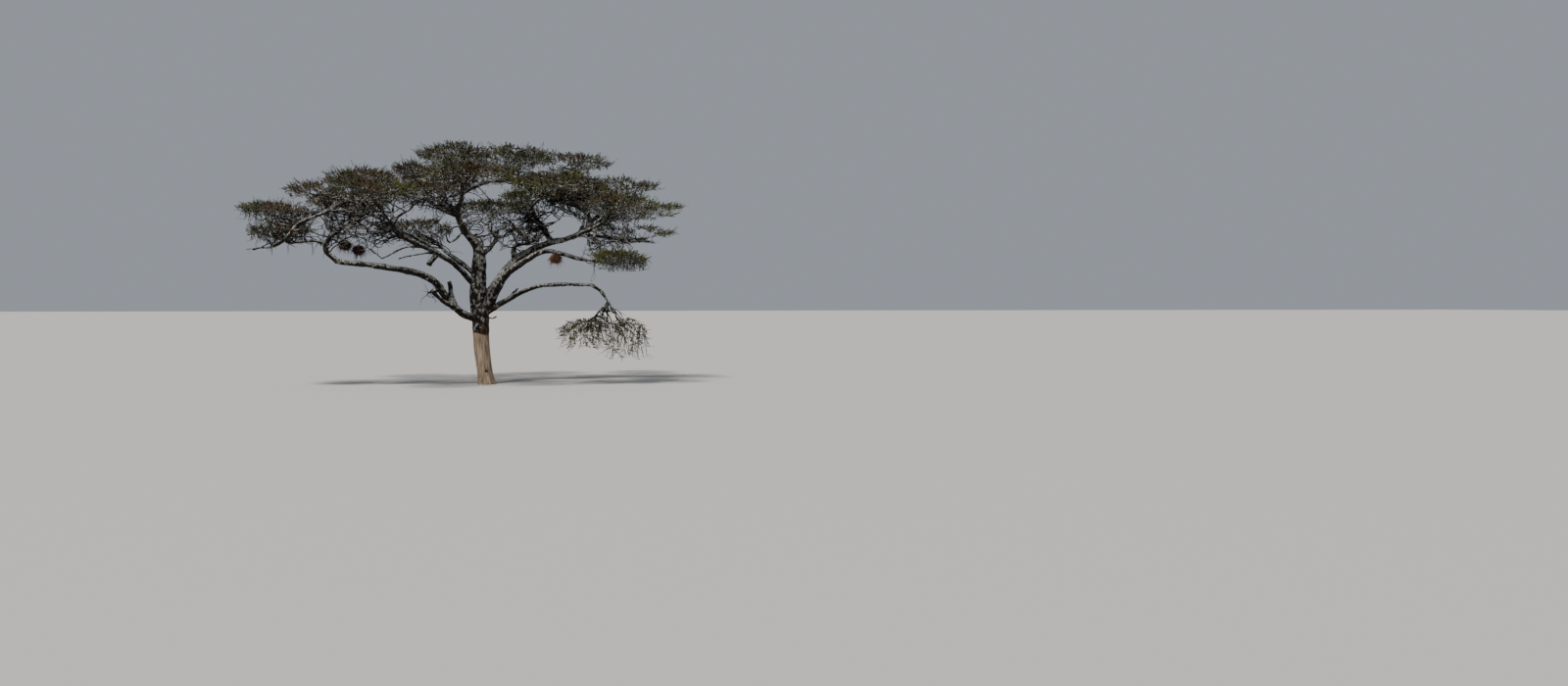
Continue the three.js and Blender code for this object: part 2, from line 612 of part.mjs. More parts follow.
function addMesh(group, name, solid, finish) {
  const mesh = solid.getMesh();
  const geometry = new THREE.BufferGeometry();
  geometry.setAttribute('position', new THREE.BufferAttribute(mesh.vertProperties, 3));
  geometry.setIndex(new THREE.BufferAttribute(mesh.triVerts, 1));
  const object = new THREE.Mesh(geometry, new THREE.MeshStandardMaterial(finish));
  object.name = name;
  group.add(object);
}

const group = new THREE.Group();
const { limbs, swollen } = growLimbs();
for (const [name, limb] of Object.entries(limbs)) {
  addMesh(group, name, limb.solid, name === 'trunk' ? RUBBED_BARK : BARK);
}
const grown = [];
for (const name of Object.keys(MASSES)) {
  const solid = massSolid(name, limbs, swollen, grown);
  grown.push(solid);
  addMesh(group, name, solid, FOLIAGE);
}
const nest = nestSolid(LIMB_NEST.middle, 'nest').subtract(swollen[LIMB_NEST.on].solid);
addMesh(group, 'nest', largestPiece(nest), DRY_GRASS);

export default group;
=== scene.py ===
# An umbrella thorn acacia of the savanna, dressed in bark, twigs and small leaves.
# Lengths are in metres, +Z is up, and the camera looks roughly along +Y.
import math

import bpy
import numpy as np
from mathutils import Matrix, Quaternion, Vector, noise


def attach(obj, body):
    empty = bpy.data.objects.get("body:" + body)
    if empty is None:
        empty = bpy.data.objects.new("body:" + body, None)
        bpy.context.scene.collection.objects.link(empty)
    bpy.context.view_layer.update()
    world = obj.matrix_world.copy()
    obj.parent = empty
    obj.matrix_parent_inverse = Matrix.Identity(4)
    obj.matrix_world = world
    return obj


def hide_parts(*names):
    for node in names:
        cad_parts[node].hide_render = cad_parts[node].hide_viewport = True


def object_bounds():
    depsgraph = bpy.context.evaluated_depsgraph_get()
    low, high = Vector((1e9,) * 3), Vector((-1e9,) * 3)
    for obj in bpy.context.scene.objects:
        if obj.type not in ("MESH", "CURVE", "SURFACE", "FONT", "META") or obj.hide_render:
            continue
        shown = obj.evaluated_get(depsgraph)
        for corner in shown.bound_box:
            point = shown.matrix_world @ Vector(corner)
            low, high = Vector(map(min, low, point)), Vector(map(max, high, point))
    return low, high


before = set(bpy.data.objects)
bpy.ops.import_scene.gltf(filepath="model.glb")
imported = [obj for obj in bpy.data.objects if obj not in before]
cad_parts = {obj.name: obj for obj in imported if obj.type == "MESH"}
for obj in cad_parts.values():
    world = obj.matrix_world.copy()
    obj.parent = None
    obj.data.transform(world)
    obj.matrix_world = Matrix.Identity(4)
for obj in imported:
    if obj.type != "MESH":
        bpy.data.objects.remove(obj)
cad_box = [list(corner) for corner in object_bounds()]


# The trunk: one old leaning stem, living wood under bark, that grows out of level ground with a
# slight root flare and runs on up as the leader into the top of the crown.
# Each bend is a place and the girth of the stem there.
TRUNK_BENDS = [
    ((0.02, 0, -0.2), 0.5),
    ((-0.04, 0, 0.45), 0.5),
    ((-0.13, 0, 1.25), 0.54),
    ((-0.16, 0, 1.95), 0.54),
    ((-0.19, 0, 2.5), 0.6),
    ((-0.22, 0, 3.15), 0.54),
    ((-0.2, 0, 4.1), 0.44),
    ((-0.28, 0, 4.7), 0.3),
    ((-0.72, 0, 5.2), 0.22),
    ((-0.87, 0, 5.7), 0.18),
    ((-0.73, 0, 6.3), 0.13),
    ((-0.73, 0, 6.7), 0.1),
]
TRUNK_SIDES = 32
ROOT_FLARE = 0.32
FLARE_HEIGHT = 0.22
ROOT_LOBES = 5
LOBE_DEPTH = 0.12
STRAIGHT_HEIGHT = 1.5  # the trunk has no kinks up to here
TRUNK_KINK = 0.03
WIDE_KINKS = 1.7  # to a metre, and the fine ones on top of them
FINE_KINKS = 5
FINE_KINK_SHARE = 0.35
KINK_FADE = 6  # how soon the kinks reach their full size from either end of a limb
WOOD_SPACING = 0.05  # between the rings of a limb
STEPS_PER_BEND = 24
noise.seed_set(5)  # so that the kinks of the wood come out the same each time


def smooth_line(places, spacing):
    """Even points along a curve that bends smoothly through the places."""
    places = [np.array(place, float) for place in places]
    ends = [2 * places[0] - places[1], *places, 2 * places[-1] - places[-2]]
    fine = []
    for before, start, end, after in zip(ends, ends[1:], ends[2:], ends[3:]):
        one = np.linalg.norm(start - before) ** 0.5
        two = np.linalg.norm(end - start) ** 0.5
        three = np.linalg.norm(after - end) ** 0.5
        leave = (start - before) / one - (end - before) / (one + two) + (end - start) / two
        arrive = (end - start) / two - (after - start) / (two + three) + (after - end) / three
        for t in np.arange(0, 1, 1 / STEPS_PER_BEND):
            fine.append(
                start * (2 * t**3 - 3 * t**2 + 1)
                + two * leave * (t**3 - 2 * t**2 + t)
                + end * (3 * t**2 - 2 * t**3)
                + two * arrive * (t**3 - t**2)
            )
    fine.append(places[-1])
    fine = np.array(fine)
    along = np.concatenate([[0], np.cumsum(np.linalg.norm(np.diff(fine, axis=0), axis=1))])
    rings = max(2, round(along[-1] / spacing)) + 1
    even = np.linspace(0, along[-1], rings)
    return np.stack([np.interp(even, along, fine[:, axis]) for axis in range(3)], axis=1)


def kinked(points, amount):
    """The same line with the small kinks of grown wood, none at its two ends."""
    share = np.linspace(0, 1, len(points))
    fade = np.minimum(1, KINK_FADE * np.minimum(share, 1 - share))[:, None]
    wide = np.array([noise.noise_vector(Vector(point) * WIDE_KINKS) for point in points])
    fine = np.array([noise.noise_vector(Vector(point) * FINE_KINKS) for point in points])
    return points + fade * amount * (wide + FINE_KINK_SHARE * fine)


def tube(points, radius_at, sides):
    """The corners and four-sided faces of a closed tube; radius_at gives one ring's radii."""
    along = np.gradient(points, axis=0)
    along /= np.linalg.norm(along, axis=1)[:, None]
    turns = np.arange(sides) * 2 * math.pi / sides
    across = np.array([1.0, 0, 0])
    rings = []
    for ring, (centre, way) in enumerate(zip(points, along)):
        across = across - way * across.dot(way)
        if np.linalg.norm(across) < 0.1:
            across = np.array([0, 1.0, 0]) - way * way[1]
        across /= np.linalg.norm(across)
        over = np.cross(way, across)
        radii = radius_at(ring, turns)[:, None]
        spokes = np.cos(turns)[:, None] * across + np.sin(turns)[:, None] * over
        rings.append(centre + radii * spokes)
    corners = np.concatenate([*rings, [points[0]], [points[-1]]])
    foot, tip = len(corners) - 2, len(corners) - 1
    faces = []
    last = len(points) - 1
    for side in range(sides):
        following = (side + 1) % sides
        for ring in range(last):
            a, b = ring * sides + side, ring * sides + following
            faces.append((a, b, b + sides, a + sides))
        faces.append((foot, following, side))
        faces.append((tip, last * sides + side, last * sides + following))
    return corners, faces


def trunk_line():
    """The stem's centre line and its girth at each ring."""
    line = smooth_line([place for place, girth in TRUNK_BENDS], WOOD_SPACING)
    bends = smooth_line([(place[2], girth, 0) for place, girth in TRUNK_BENDS], WOOD_SPACING)
    girth = np.interp(line[:, 2], bends[:, 0], bends[:, 1])
    return kinked(line, TRUNK_KINK * np.clip(line[:, 2:3] - STRAIGHT_HEIGHT, 0, 1)), girth


def trunk_radii(line, girth):
    """The stem's radius round each ring: flared and lobed at the ground."""

    def radius_at(ring, turns):
        flare = math.exp(-max(line[ring][2], 0) / FLARE_HEIGHT)
        lobes = 1 + LOBE_DEPTH * np.cos(ROOT_LOBES * turns) * flare
        return girth[ring] / 2 * (1 + ROOT_FLARE * flare) * lobes

    return radius_at


TRUNK_LINE, TRUNK_GIRTH = trunk_line()
lines = {"trunk": TRUNK_LINE}
girths = {"trunk": TRUNK_GIRTH}
wood = [tube(TRUNK_LINE, trunk_radii(TRUNK_LINE, TRUNK_GIRTH), TRUNK_SIDES)]


# The limbs: crooked boughs of the same wood. Each leaves its parent in a thick collar, bends
# through a few places and tapers to where its foliage starts; some end broken and bare.
# For each: what it grows from, its girth at foot and tip, and the places from foot to tip.
LIMBS = {
    "left_arm": ("trunk", (0.27, 0.15), [
        (-0.2, 0, 2.15), (-0.8, -0.2, 2.42), (-1.15, -0.37, 2.75), (-1.6, -0.6, 3.42),
        (-2.4, -0.9, 3.77), (-4.55, -1, 4.05),
    ]),
    "left_arm_rise": ("left_arm", (0.15, 0.11), [
        (-4.55, -1, 4.05), (-4.9, -1, 4.4), (-4.72, -1, 4.92), (-4.05, -0.8, 5.4),
        (-3.6, -0.5, 5.94),
    ]),
    "broken_limb": ("left_arm", (0.15, 0.11), [
        (-0.95, -0.3, 2.5), (-1.35, -0.6, 2.8), (-1.71, -0.9, 3.15),
    ]),
    "dead_stub": ("left_arm", (0.17, 0.12), [
        (-0.95, -0.28, 2.55), (-1.1, -0.13, 3), (-1.17, -0.1, 3.45),
    ]),
    "far_left_limb": ("left_arm_rise", (0.12, 0.07), [
        (-3.75, -0.6, 5.73), (-4.1, -0.5, 6.02), (-5.04, -0.5, 5.66), (-5.85, -0.5, 5.2),
    ]),
    "far_left_low_limb": ("left_arm_rise", (0.07, 0.05), [
        (-4.88, -1, 4.62), (-5.35, -1, 4.7), (-6, -0.8, 4.6),
    ]),
    "outer_left_limb": ("far_left_limb", (0.08, 0.06), [(-4.25, -0.5, 6), (-4.85, -0.3, 6.15)]),
    "inner_left_limb": ("trunk", (0.2, 0.1), [
        (-0.2, 0, 3.2), (-0.79, -0.3, 3.82), (-1.46, -0.7, 4.34), (-2.4, -1.1, 4.75),
        (-2.83, -1.2, 5.08), (-2.88, -1.2, 5.6),
    ]),
    "back_low_left_limb": ("trunk", (0.17, 0.08), [
        (-0.2, 0, 3.6), (-0.8, 0.4, 4.1), (-1.3, 1.1, 4.5), (-1.65, 1.5, 4.88),
    ]),
    "back_middle_limb": ("trunk", (0.16, 0.07), [
        (-0.2, 0, 4.25), (0.26, 0.6, 4.73), (0.38, 1.2, 5.02), (0.15, 1.9, 5.3), (0.1, 2.5, 5.7),
    ]),
    "right_bough": ("trunk", (0.34, 0.13), [
        (-0.2, 0, 2.6), (0.04, 0.05, 2.94), (0.5, 0.2, 3.58), (0.94, 0.35, 4.12),
        (1.47, 0.5, 4.5), (2.1, 0.6, 4.78), (3.05, 0.6, 5.08), (3.45, 0.6, 5.32),
        (3.62, 0.6, 5.62),
    ]),
    "right_low_limb": ("trunk", (0.27, 0.09), [
        (-0.18, 0, 2.35), (0.22, -0.12, 2.8), (0.44, -0.25, 3.28), (0.78, -0.45, 3.78),
        (1.3, -0.7, 4.14), (2, -0.95, 4.46), (2.9, -1, 4.24), (3.6, -1, 4.12),
    ]),
    "low_right_limb": ("trunk", (0.19, 0.1), [
        (-0.17, 0, 2.25), (0.24, 0, 2.54), (0.95, -0.2, 2.97), (1.9, -0.8, 3.33),
        (3.45, -1, 3.34),
    ]),
    "low_right_droop": ("low_right_limb", (0.1, 0.06), [
        (3.45, -1, 3.34), (3.76, -1, 3.12), (3.99, -1, 2.77), (4.15, -1, 2.45),
    ]),
    "hanging_left_limb": ("low_right_droop", (0.06, 0.04), [
        (4.03, -1, 2.7), (3.78, -1, 2.54), (3.55, -1, 2.28),
    ]),
    "right_inner_limb": ("right_bough", (0.15, 0.07), [
        (2.24, 0.55, 4.85), (1.85, 0.6, 5.35), (1.55, 0.65, 6),
    ]),
    "top_right_limb": ("trunk", (0.11, 0.07), [
        (-0.73, 0, 6.4), (-0.1, 0, 6.72), (0.75, -0.05, 6.92),
    ]),
    "top_left_limb": ("trunk", (0.12, 0.07), [
        (-0.87, 0, 5.65), (-1.4, -0.2, 5.98), (-1.95, -0.3, 6.48),
    ]),
    "top_far_right_limb": ("right_bough", (0.17, 0.06), [
        (3.52, 0.6, 5.42), (3.5, 0.65, 5.8), (3.18, 0.65, 6.04), (2.93, 0.6, 6.3),
        (2.7, 0.6, 6.62), (2.75, 0.6, 7.05),
    ]),
    "right_rim_high_limb": ("right_bough", (0.1, 0.06), [
        (3.35, 0.6, 5.3), (3.95, 0.35, 5.52), (4.55, 0, 5.64),
    ]),
    "right_rim_low_limb": ("right_bough", (0.09, 0.06), [
        (3, 0.6, 5.12), (3.85, 0.65, 5.06), (4.8, 0.5, 4.85),
    ]),
    "front_middle_limb": ("trunk", (0.16, 0.07), [
        (-0.65, 0, 5.12), (-0.85, -1.2, 5.65), (-0.65, -2.4, 6.25),
    ]),
    "front_right_limb": ("right_inner_limb", (0.1, 0.06), [
        (1.75, 0.6, 5.5), (1.58, -0.4, 5.95), (1.85, -1.6, 6.2),
    ]),
    "front_left_limb": ("inner_left_limb", (0.11, 0.06), [
        (-2.5, -1.1, 4.8), (-2.85, -1.85, 5.2), (-3.15, -2.4, 5.65),
    ]),
    "front_far_right_limb": ("right_bough", (0.1, 0.06), [
        (2.75, 0.6, 5.05), (3.55, -0.4, 5.25), (3.95, -1.6, 5.5),
    ]),
    "back_right_limb": ("right_bough", (0.11, 0.07), [
        (3.15, 0.6, 5.18), (3.4, 1.4, 5.62), (3.55, 2.1, 6.05),
    ]),
    "back_left_limb": ("left_arm_rise", (0.1, 0.06), [
        (-4.15, -0.85, 5.3), (-4.25, 0.4, 5.55), (-4.5, 1.6, 5.75),
    ]),
    "back_top_limb": ("trunk", (0.12, 0.07), [
        (-0.8, 0, 5.4), (-1.05, 0.95, 5.9), (-1.4, 1.75, 6.45),
    ]),
    "dead_twig_upper": ("inner_left_limb", (0.06, 0.05), [
        (-1.9, -0.9, 4.57), (-2.5, -1.15, 4.5), (-3.2, -1.3, 4.15),
    ]),
    "dead_twig_lower": ("inner_left_limb", (0.06, 0.04), [
        (-1.55, -0.75, 4.4), (-2.1, -0.95, 4.3), (-2.7, -1.1, 4.15),
    ]),
    "dead_spur": ("inner_left_limb", (0.12, 0.17), [(-1.5, -0.7, 4.36), (-1.78, -0.85, 3.98)]),
}
LIMB_SIDES = 14
LIMB_KINK = 0.035
COLLAR_SWELL = 0.35
COLLAR_LENGTH = 0.16
KNOT_SWELL = 0.14
KNOTS = 2.3  # to a metre


def nearest_on(line, place):
    """The point of a line nearest to a place."""
    return line[np.argmin(np.linalg.norm(line - np.array(place), axis=1))]


def limb_radii(line, girth, length):
    """A limb's radius at each ring: a collar at its foot and knots along it."""
    share = np.linspace(0, 1, len(line))
    collar = 1 + COLLAR_SWELL * np.exp(-share * length / COLLAR_LENGTH)
    knots = np.array([noise.noise(Vector(point) * KNOTS) for point in line])
    return np.interp(share, [0, 1], girth) / 2 * collar * (1 + KNOT_SWELL * knots)


def even_radii(radii):
    """The same radius all round each ring."""
    return lambda ring, turns: np.full(len(turns), radii[ring])


def grow_limbs(table, kink, sides):
    """Grows each limb of a table from its parent and adds its tube to the wood."""
    for name, (parent, girth, places) in table.items():
        foot = nearest_on(lines[parent], places[0])
        line = smooth_line([foot, *places[1:]], WOOD_SPACING)
        length = WOOD_SPACING * (len(line) - 1)
        line = kinked(line, kink)
        radii = limb_radii(line, girth, length)
        lines[name] = line
        girths[name] = 2 * radii
        wood.append(tube(line, even_radii(radii), sides))


grow_limbs(LIMBS, LIMB_KINK, LIMB_SIDES)


# Side branches: the lesser limbs that show between the foliage, hooked, looped or broken short.
# They are of the same wood as the boughs and grow from them as those grow from the trunk.
# The table is laid out as that of the limbs.
SIDE_BRANCHES = {
    "shoulder_branch": ("top_far_right_limb", (0.09, 0.04), [
        (2.93, 0.6, 6.3), (3.3, 0.5, 6.37), (3.6, 0.4, 6.28), (3.81, 0.3, 6.15),
        (4.05, 0.2, 6.07),
    ]),
    "dead_sprig": ("top_far_right_limb", (0.05, 0.02), [
        (2.71, 0.6, 6.6), (3.04, 0.5, 6.85), (3.25, 0.4, 7), (3.5, 0.3, 7.06),
    ]),
    "bough_end": ("right_bough", (0.1, 0.05), [
        (3.5, 0.6, 5.36), (3.75, 0.5, 5.41), (4.02, 0.4, 5.41), (4.32, 0.3, 5.46),
    ]),
    "hanging_stub": ("right_bough", (0.12, 0.06), [
        (3.6, 0.6, 5.54), (3.72, 0.4, 5.18), (3.6, 0.35, 4.88), (3.6, 0.35, 4.74),
    ]),
    "rim_feeder": ("bough_end", (0.07, 0.035), [
        (3.75, 0.5, 5.4), (3.9, 0.4, 5.25), (4.05, 0.3, 5.06), (4.26, 0.2, 4.85),
        (4.34, 0.2, 4.62),
    ]),
    "gap_twig": ("top_far_right_limb", (0.045, 0.02), [
        (3.52, 0.64, 5.72), (3.3, 0.5, 5.64), (2.94, 0.3, 5.76), (2.48, 0.1, 5.9),
    ]),
    "riser": ("inner_left_limb", (0.09, 0.05), [
        (-2.86, -1.2, 5.2), (-2.7, -1.2, 5.5), (-2.3, -1.3, 5.75), (-2.06, -1.4, 6.03),
    ]),
    "leader_feeder": ("trunk", (0.09, 0.05), [
        (-0.9, 0, 5.6), (-1.39, -0.5, 5.79), (-1.71, -1, 6), (-1.97, -1.4, 6.06),
    ]),
    "arm_to_far_left": ("far_left_limb", (0.05, 0.04), [
        (-5, -0.5, 5.64), (-4.92, -0.8, 5.22), (-4.75, -1, 4.95),
    ]),
    "far_left_front": ("far_left_limb", (0.11, 0.06), [
        (-4.5, -0.5, 5.88), (-4.83, -1.15, 5.66), (-5.74, -1.55, 5.15), (-6.05, -1.4, 4.76),
        (-6.56, -0.95, 4.46),
    ]),
    "far_left_end": ("far_left_limb", (0.075, 0.025), [
        (-5.84, -0.5, 5.21), (-6.17, -0.5, 4.79), (-6.67, -0.5, 4.53), (-7.05, -0.5, 4.48),
        (-7.39, -0.5, 4.43),
    ]),
    "far_left_fork": ("far_left_end", (0.03, 0.015), [
        (-7.05, -0.5, 4.48), (-7.2, -0.5, 4.4), (-7.34, -0.5, 4.31),
    ]),
    "far_left_link": ("far_left_low_limb", (0.05, 0.05), [
        (-5.95, -0.8, 4.6), (-6.1, -0.65, 4.66), (-6.2, -0.52, 4.76),
    ]),
    "upright_stub": ("low_right_limb", (0.08, 0.06), [
        (0.75, -0.13, 2.85), (0.9, -0.1, 3.05), (1.07, -0.1, 3.23),
    ]),
    "curl": ("right_bough", (0.15, 0.08), [
        (0.95, 0.38, 4.2), (0.95, 0.35, 4.5), (1, 0.3, 4.65), (1.23, 0.2, 4.73), (1.49, 0.1, 4.8),
        (1.75, 0, 4.93), (1.94, 0, 5.05),
    ]),
    "curl_fork": ("curl", (0.08, 0.035), [
        (1.49, 0.1, 4.8), (1.36, 0, 5.02), (1.1, -0.1, 5.08), (0.94, -0.1, 5.27),
    ]),
    "loop_left": ("trunk", (0.06, 0.035), [
        (-0.7, 0, 5.15), (-0.95, -0.1, 4.85), (-1.17, -0.3, 4.76), (-1.25, -0.4, 5),
        (-1.03, -0.4, 5.23),
    ]),
    "loop_right": ("trunk", (0.08, 0.045), [
        (-0.45, 0, 4.95), (-0.15, 0.2, 4.91), (-0.03, 0.2, 4.69), (-0.14, 0.1, 4.6),
    ]),
    "rim_drop": ("right_rim_low_limb", (0.07, 0.06), [
        (4.12, 0.5, 5.05), (4.26, 0, 4.98), (4.24, -0.5, 4.73), (4.28, -0.8, 4.5),
    ]),
    "pale_drop": ("right_bough", (0.08, 0.035), [
        (3.5, 0.6, 5.45), (3.68, 0.3, 5.14), (3.52, -0.4, 4.7), (3.39, -0.8, 4.45),
    ]),
    "tiny_stub": ("trunk", (0.05, 0.04), [(0, 0, 2.28), (0.21, -0.1, 2.24), (0.37, -0.15, 2.28)]),
    "under_top": ("top_right_limb", (0.06, 0.03), [
        (0.3, -0.05, 6.8), (0.6, -0.1, 6.84), (0.91, -0.2, 6.84), (1.36, -0.3, 6.94),
    ]),
    "upper_left_dark": ("left_arm_rise", (0.11, 0.07), [
        (-3.95, -0.75, 5.5), (-3.75, -0.7, 5.6), (-3.81, -0.8, 5.92), (-3.97, -1, 6.1),
    ]),
    "upper_left_cross": ("left_arm_rise", (0.09, 0.05), [
        (-3.8, -0.65, 5.62), (-3.42, -0.6, 5.5), (-2.97, -0.9, 5.36), (-2.78, -1.1, 5.48),
    ]),
    "inner_parallel": ("inner_left_limb", (0.1, 0.06), [
        (-1.2, -0.55, 4.15), (-1.8, -0.7, 4.62), (-2.19, -0.8, 4.85), (-2.58, -0.9, 5.02),
        (-2.8, -1, 5.2),
    ]),
    "bough_knot_up": ("right_inner_limb", (0.09, 0.045), [
        (2.1, 0.55, 5), (2, 0.4, 5.3), (1.73, 0.3, 5.44), (1.5, 0.2, 5.63), (1.4, 0.2, 5.93),
    ]),
    "bough_knot_side": ("right_inner_limb", (0.06, 0.03), [
        (1.9, 0.6, 5.3), (2.32, 0.3, 5.49), (2.52, 0.2, 5.62), (2.35, 0.1, 5.74),
    ]),
    "top_far_right_fork": ("top_far_right_limb", (0.06, 0.03), [
        (3.1, 0.6, 6.2), (3.47, 0.4, 6.49), (3.82, 0.2, 6.75),
    ]),
    "shoulder_feeder": ("right_bough", (0.08, 0.04), [
        (3.61, 0.6, 5.56), (3.87, 0.5, 5.86), (4.19, 0.3, 6.16), (4.58, 0.1, 6.42),
    ]),
    "shoulder_side_feeder": ("right_rim_high_limb", (0.06, 0.03), [
        (3.7, 0.5, 5.5), (4.05, 0.2, 5.74), (4.55, -0.1, 5.82), (5.15, -0.2, 5.83),
    ]),
    "rim_low_feeder": ("right_rim_low_limb", (0.05, 0.03), [
        (4.4, 0.6, 5), (4.56, 0.6, 4.96), (5.17, 0.6, 4.9), (5.76, 0.6, 4.87),
    ]),
}
BRANCH_SIDES = 10
BRANCH_KINK = 0.05

grow_limbs(SIDE_BRANCHES, BRANCH_KINK, BRANCH_SIDES)


# The bark: one skin over the trunk and all the limbs, grown together at every fork. Its relief
# is ridged and cracked on old wood and worn smooth on the lower trunk, where animals rub it.
BARK_GRAIN = 0.019  # the size of the skin's smallest faces
SKIN_SHARE = 0.58  # of the skin's faces that are kept once the relief is made
RUBBED_HEIGHT = 1.68  # the bark is worn smooth up to here
RUBBED_WAVE = 0.2  # how far that edge runs up and down
RUBBED_WAVES = 6  # to a metre
EDGE_STEEPNESS = 18
RUBBED_ROUGHNESS = 0.12  # of the relief that is left on the rubbed wood
RUBBED_DEPTH = 0.008
RIDGES_ACROSS = 13  # to a metre, as the next two
RIDGES_ALONG = 4.5
LUMPS = 3.1
RIDGE_DEPTH = 0.012
LUMP_DEPTH = 0.018
KNOT_HOLE = Vector((0.02, -0.26, 0.44))
KNOT_HOLE_RADIUS = 0.065
KNOT_HOLE_DEPTH = 0.05


def mesh_from(name, corners, faces):
    """A mesh from corners and faces, all the faces having the same number of sides."""
    corners = np.asarray(corners, np.float32)
    faces = np.asarray(faces, np.int32)
    mesh = bpy.data.meshes.new(name)
    mesh.vertices.add(len(corners))
    mesh.vertices.foreach_set("co", corners.ravel())
    mesh.loops.add(faces.size)
    mesh.loops.foreach_set("vertex_index", faces.ravel())
    mesh.polygons.add(len(faces))
    starts = np.arange(0, faces.size, faces.shape[1], dtype=np.int32)
    mesh.polygons.foreach_set("loop_start", starts)
    mesh.update(calc_edges=True)
    return mesh


def in_scene(name, data):
    """A new object in the scene."""
    new = bpy.data.objects.new(name, data)
    bpy.context.scene.collection.objects.link(new)
    return new


def add_piece(name, mesh, material, smooth):
    """A piece of the tree that rides on its one body."""
    mesh.polygons.foreach_set("use_smooth", np.full(len(mesh.polygons), smooth))
    mesh.materials.append(material)
    piece = in_scene(name, mesh)
    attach(piece, "root")
    return piece


def settled(holder):
    """The mesh that an object's modifiers make; the object itself goes."""
    view = bpy.context.evaluated_depsgraph_get()
    mesh = bpy.data.meshes.new_from_object(holder.evaluated_get(view))
    bpy.data.objects.remove(holder)
    return mesh


def fused_wood(tubes):
    """All the tubes of wood grown together into one skin."""
    mesh = bpy.data.meshes.new("wood")
    corners = []
    faces = []
    for tube_corners, tube_faces in tubes:
        faces += [tuple(corner + len(corners) for corner in face) for face in tube_faces]
        corners += list(map(tuple, tube_corners))
    mesh.from_pydata(corners, [], faces)
    raw = in_scene("wood", mesh)
    remesh = raw.modifiers.new("skin", "REMESH")
    remesh.mode = "VOXEL"
    remesh.voxel_size = BARK_GRAIN
    relax = raw.modifiers.new("relax", "SMOOTH")
    relax.factor = 0.5
    relax.iterations = 3
    return settled(raw)


def bark_relief(mesh):
    """Moves the skin's corners in and out for the ridges, lumps, rubbed foot and knot hole, and
    cuts it flat at the ground."""
    places = np.empty(len(mesh.vertices) * 3, np.float32)
    mesh.vertices.foreach_get("co", places)
    normals = np.empty_like(places)
    mesh.vertex_normals.foreach_get("vector", normals)
    moved = []
    for place, normal in zip(places.reshape(-1, 3), normals.reshape(-1, 3)):
        place = Vector(place)
        across = (place.x * RIDGES_ACROSS, place.y * RIDGES_ACROSS)
        ridges = 1 - 2 * abs(noise.noise(Vector((*across, place.z * RIDGES_ALONG))))
        lumps = noise.noise(place * LUMPS)
        edge = RUBBED_HEIGHT + RUBBED_WAVE * noise.noise(place * RUBBED_WAVES)
        rough = min(1, max(RUBBED_ROUGHNESS, (place.z - edge) * EDGE_STEEPNESS))
        out = rough * (RIDGE_DEPTH * ridges + LUMP_DEPTH * lumps) - RUBBED_DEPTH * (1 - rough)
        reach = (place - KNOT_HOLE).length / KNOT_HOLE_RADIUS
        out -= KNOT_HOLE_DEPTH * max(0, 1 - reach**2)
        place += Vector(normal) * out
        moved.append((place.x, place.y, max(place.z, 0)))
    mesh.vertices.foreach_set("co", np.array(moved, np.float32).ravel())


def slimmed(mesh, share):
    """The mesh with that share of its triangles, fewest where it is flattest."""
    holder = in_scene("slimmed", mesh)
    slimming = holder.modifiers.new("slimming", "DECIMATE")
    slimming.ratio = share
    return settled(holder)


bark_mesh = fused_wood(wood)
bark_relief(bark_mesh)
bark_mesh.update()
bark_mesh = slimmed(bark_mesh, SKIN_SHARE)


def shader(name, color, roughness):
    """A material with one matt shader; returns it, its node tree and the shader."""
    material = bpy.data.materials.new(name)
    material.use_nodes = True
    surface = material.node_tree.nodes["Principled BSDF"]
    surface.inputs["Base Color"].default_value = (*color, 1)
    surface.inputs["Roughness"].default_value = roughness
    surface.inputs["Specular IOR Level"].default_value = 0.2
    return material, material.node_tree, surface


def noise_node(tree, scale, detail, stretch=(1, 1, 1)):
    """A noise over the object's own metres; returns its value's socket."""
    place = tree.nodes.new("ShaderNodeTexCoord")
    mapping = tree.nodes.new("ShaderNodeMapping")
    mapping.inputs["Scale"].default_value = stretch
    texture = tree.nodes.new("ShaderNodeTexNoise")
    texture.inputs["Scale"].default_value = scale
    texture.inputs["Detail"].default_value = detail
    tree.links.new(place.outputs["Object"], mapping.inputs["Vector"])
    tree.links.new(mapping.outputs["Vector"], texture.inputs["Vector"])
    return texture.outputs["Fac"]


def ramp_node(tree, value, low, high):
    """The value spread so that low becomes 0 and high becomes 1."""
    spread = tree.nodes.new("ShaderNodeMapRange")
    spread.interpolation_type = "SMOOTHSTEP"
    spread.inputs["From Min"].default_value = low
    spread.inputs["From Max"].default_value = high
    tree.links.new(value, spread.inputs["Value"])
    return spread.outputs["Result"]


def math_node(tree, one, operation, two):
    """Two values, or a value and a number, put together."""
    node = tree.nodes.new("ShaderNodeMath")
    node.operation = operation
    for socket, value in zip(node.inputs, (one, two)):
        if isinstance(value, (int, float)):
            socket.default_value = value
        else:
            tree.links.new(value, socket)
    return node.outputs["Value"]


def mix_node(tree, share, one, two):
    """Two colours, or colour sockets, mixed by a share."""
    node = tree.nodes.new("ShaderNodeMix")
    node.data_type = "RGBA"
    tree.links.new(share, node.inputs["Factor"])
    for socket, value in zip((node.inputs["A"], node.inputs["B"]), (one, two)):
        if isinstance(value, tuple):
            socket.default_value = (*value, 1)
        else:
            tree.links.new(value, socket)
    return node.outputs["Result"]


def bump_node(tree, height, strength, distance, surface):
    """Fine relief on a shader, from a height."""
    bump = tree.nodes.new("ShaderNodeBump")
    bump.inputs["Strength"].default_value = strength
    bump.inputs["Distance"].default_value = distance
    tree.links.new(height, bump.inputs["Height"])
    tree.links.new(bump.outputs["Normal"], surface.inputs["Normal"])


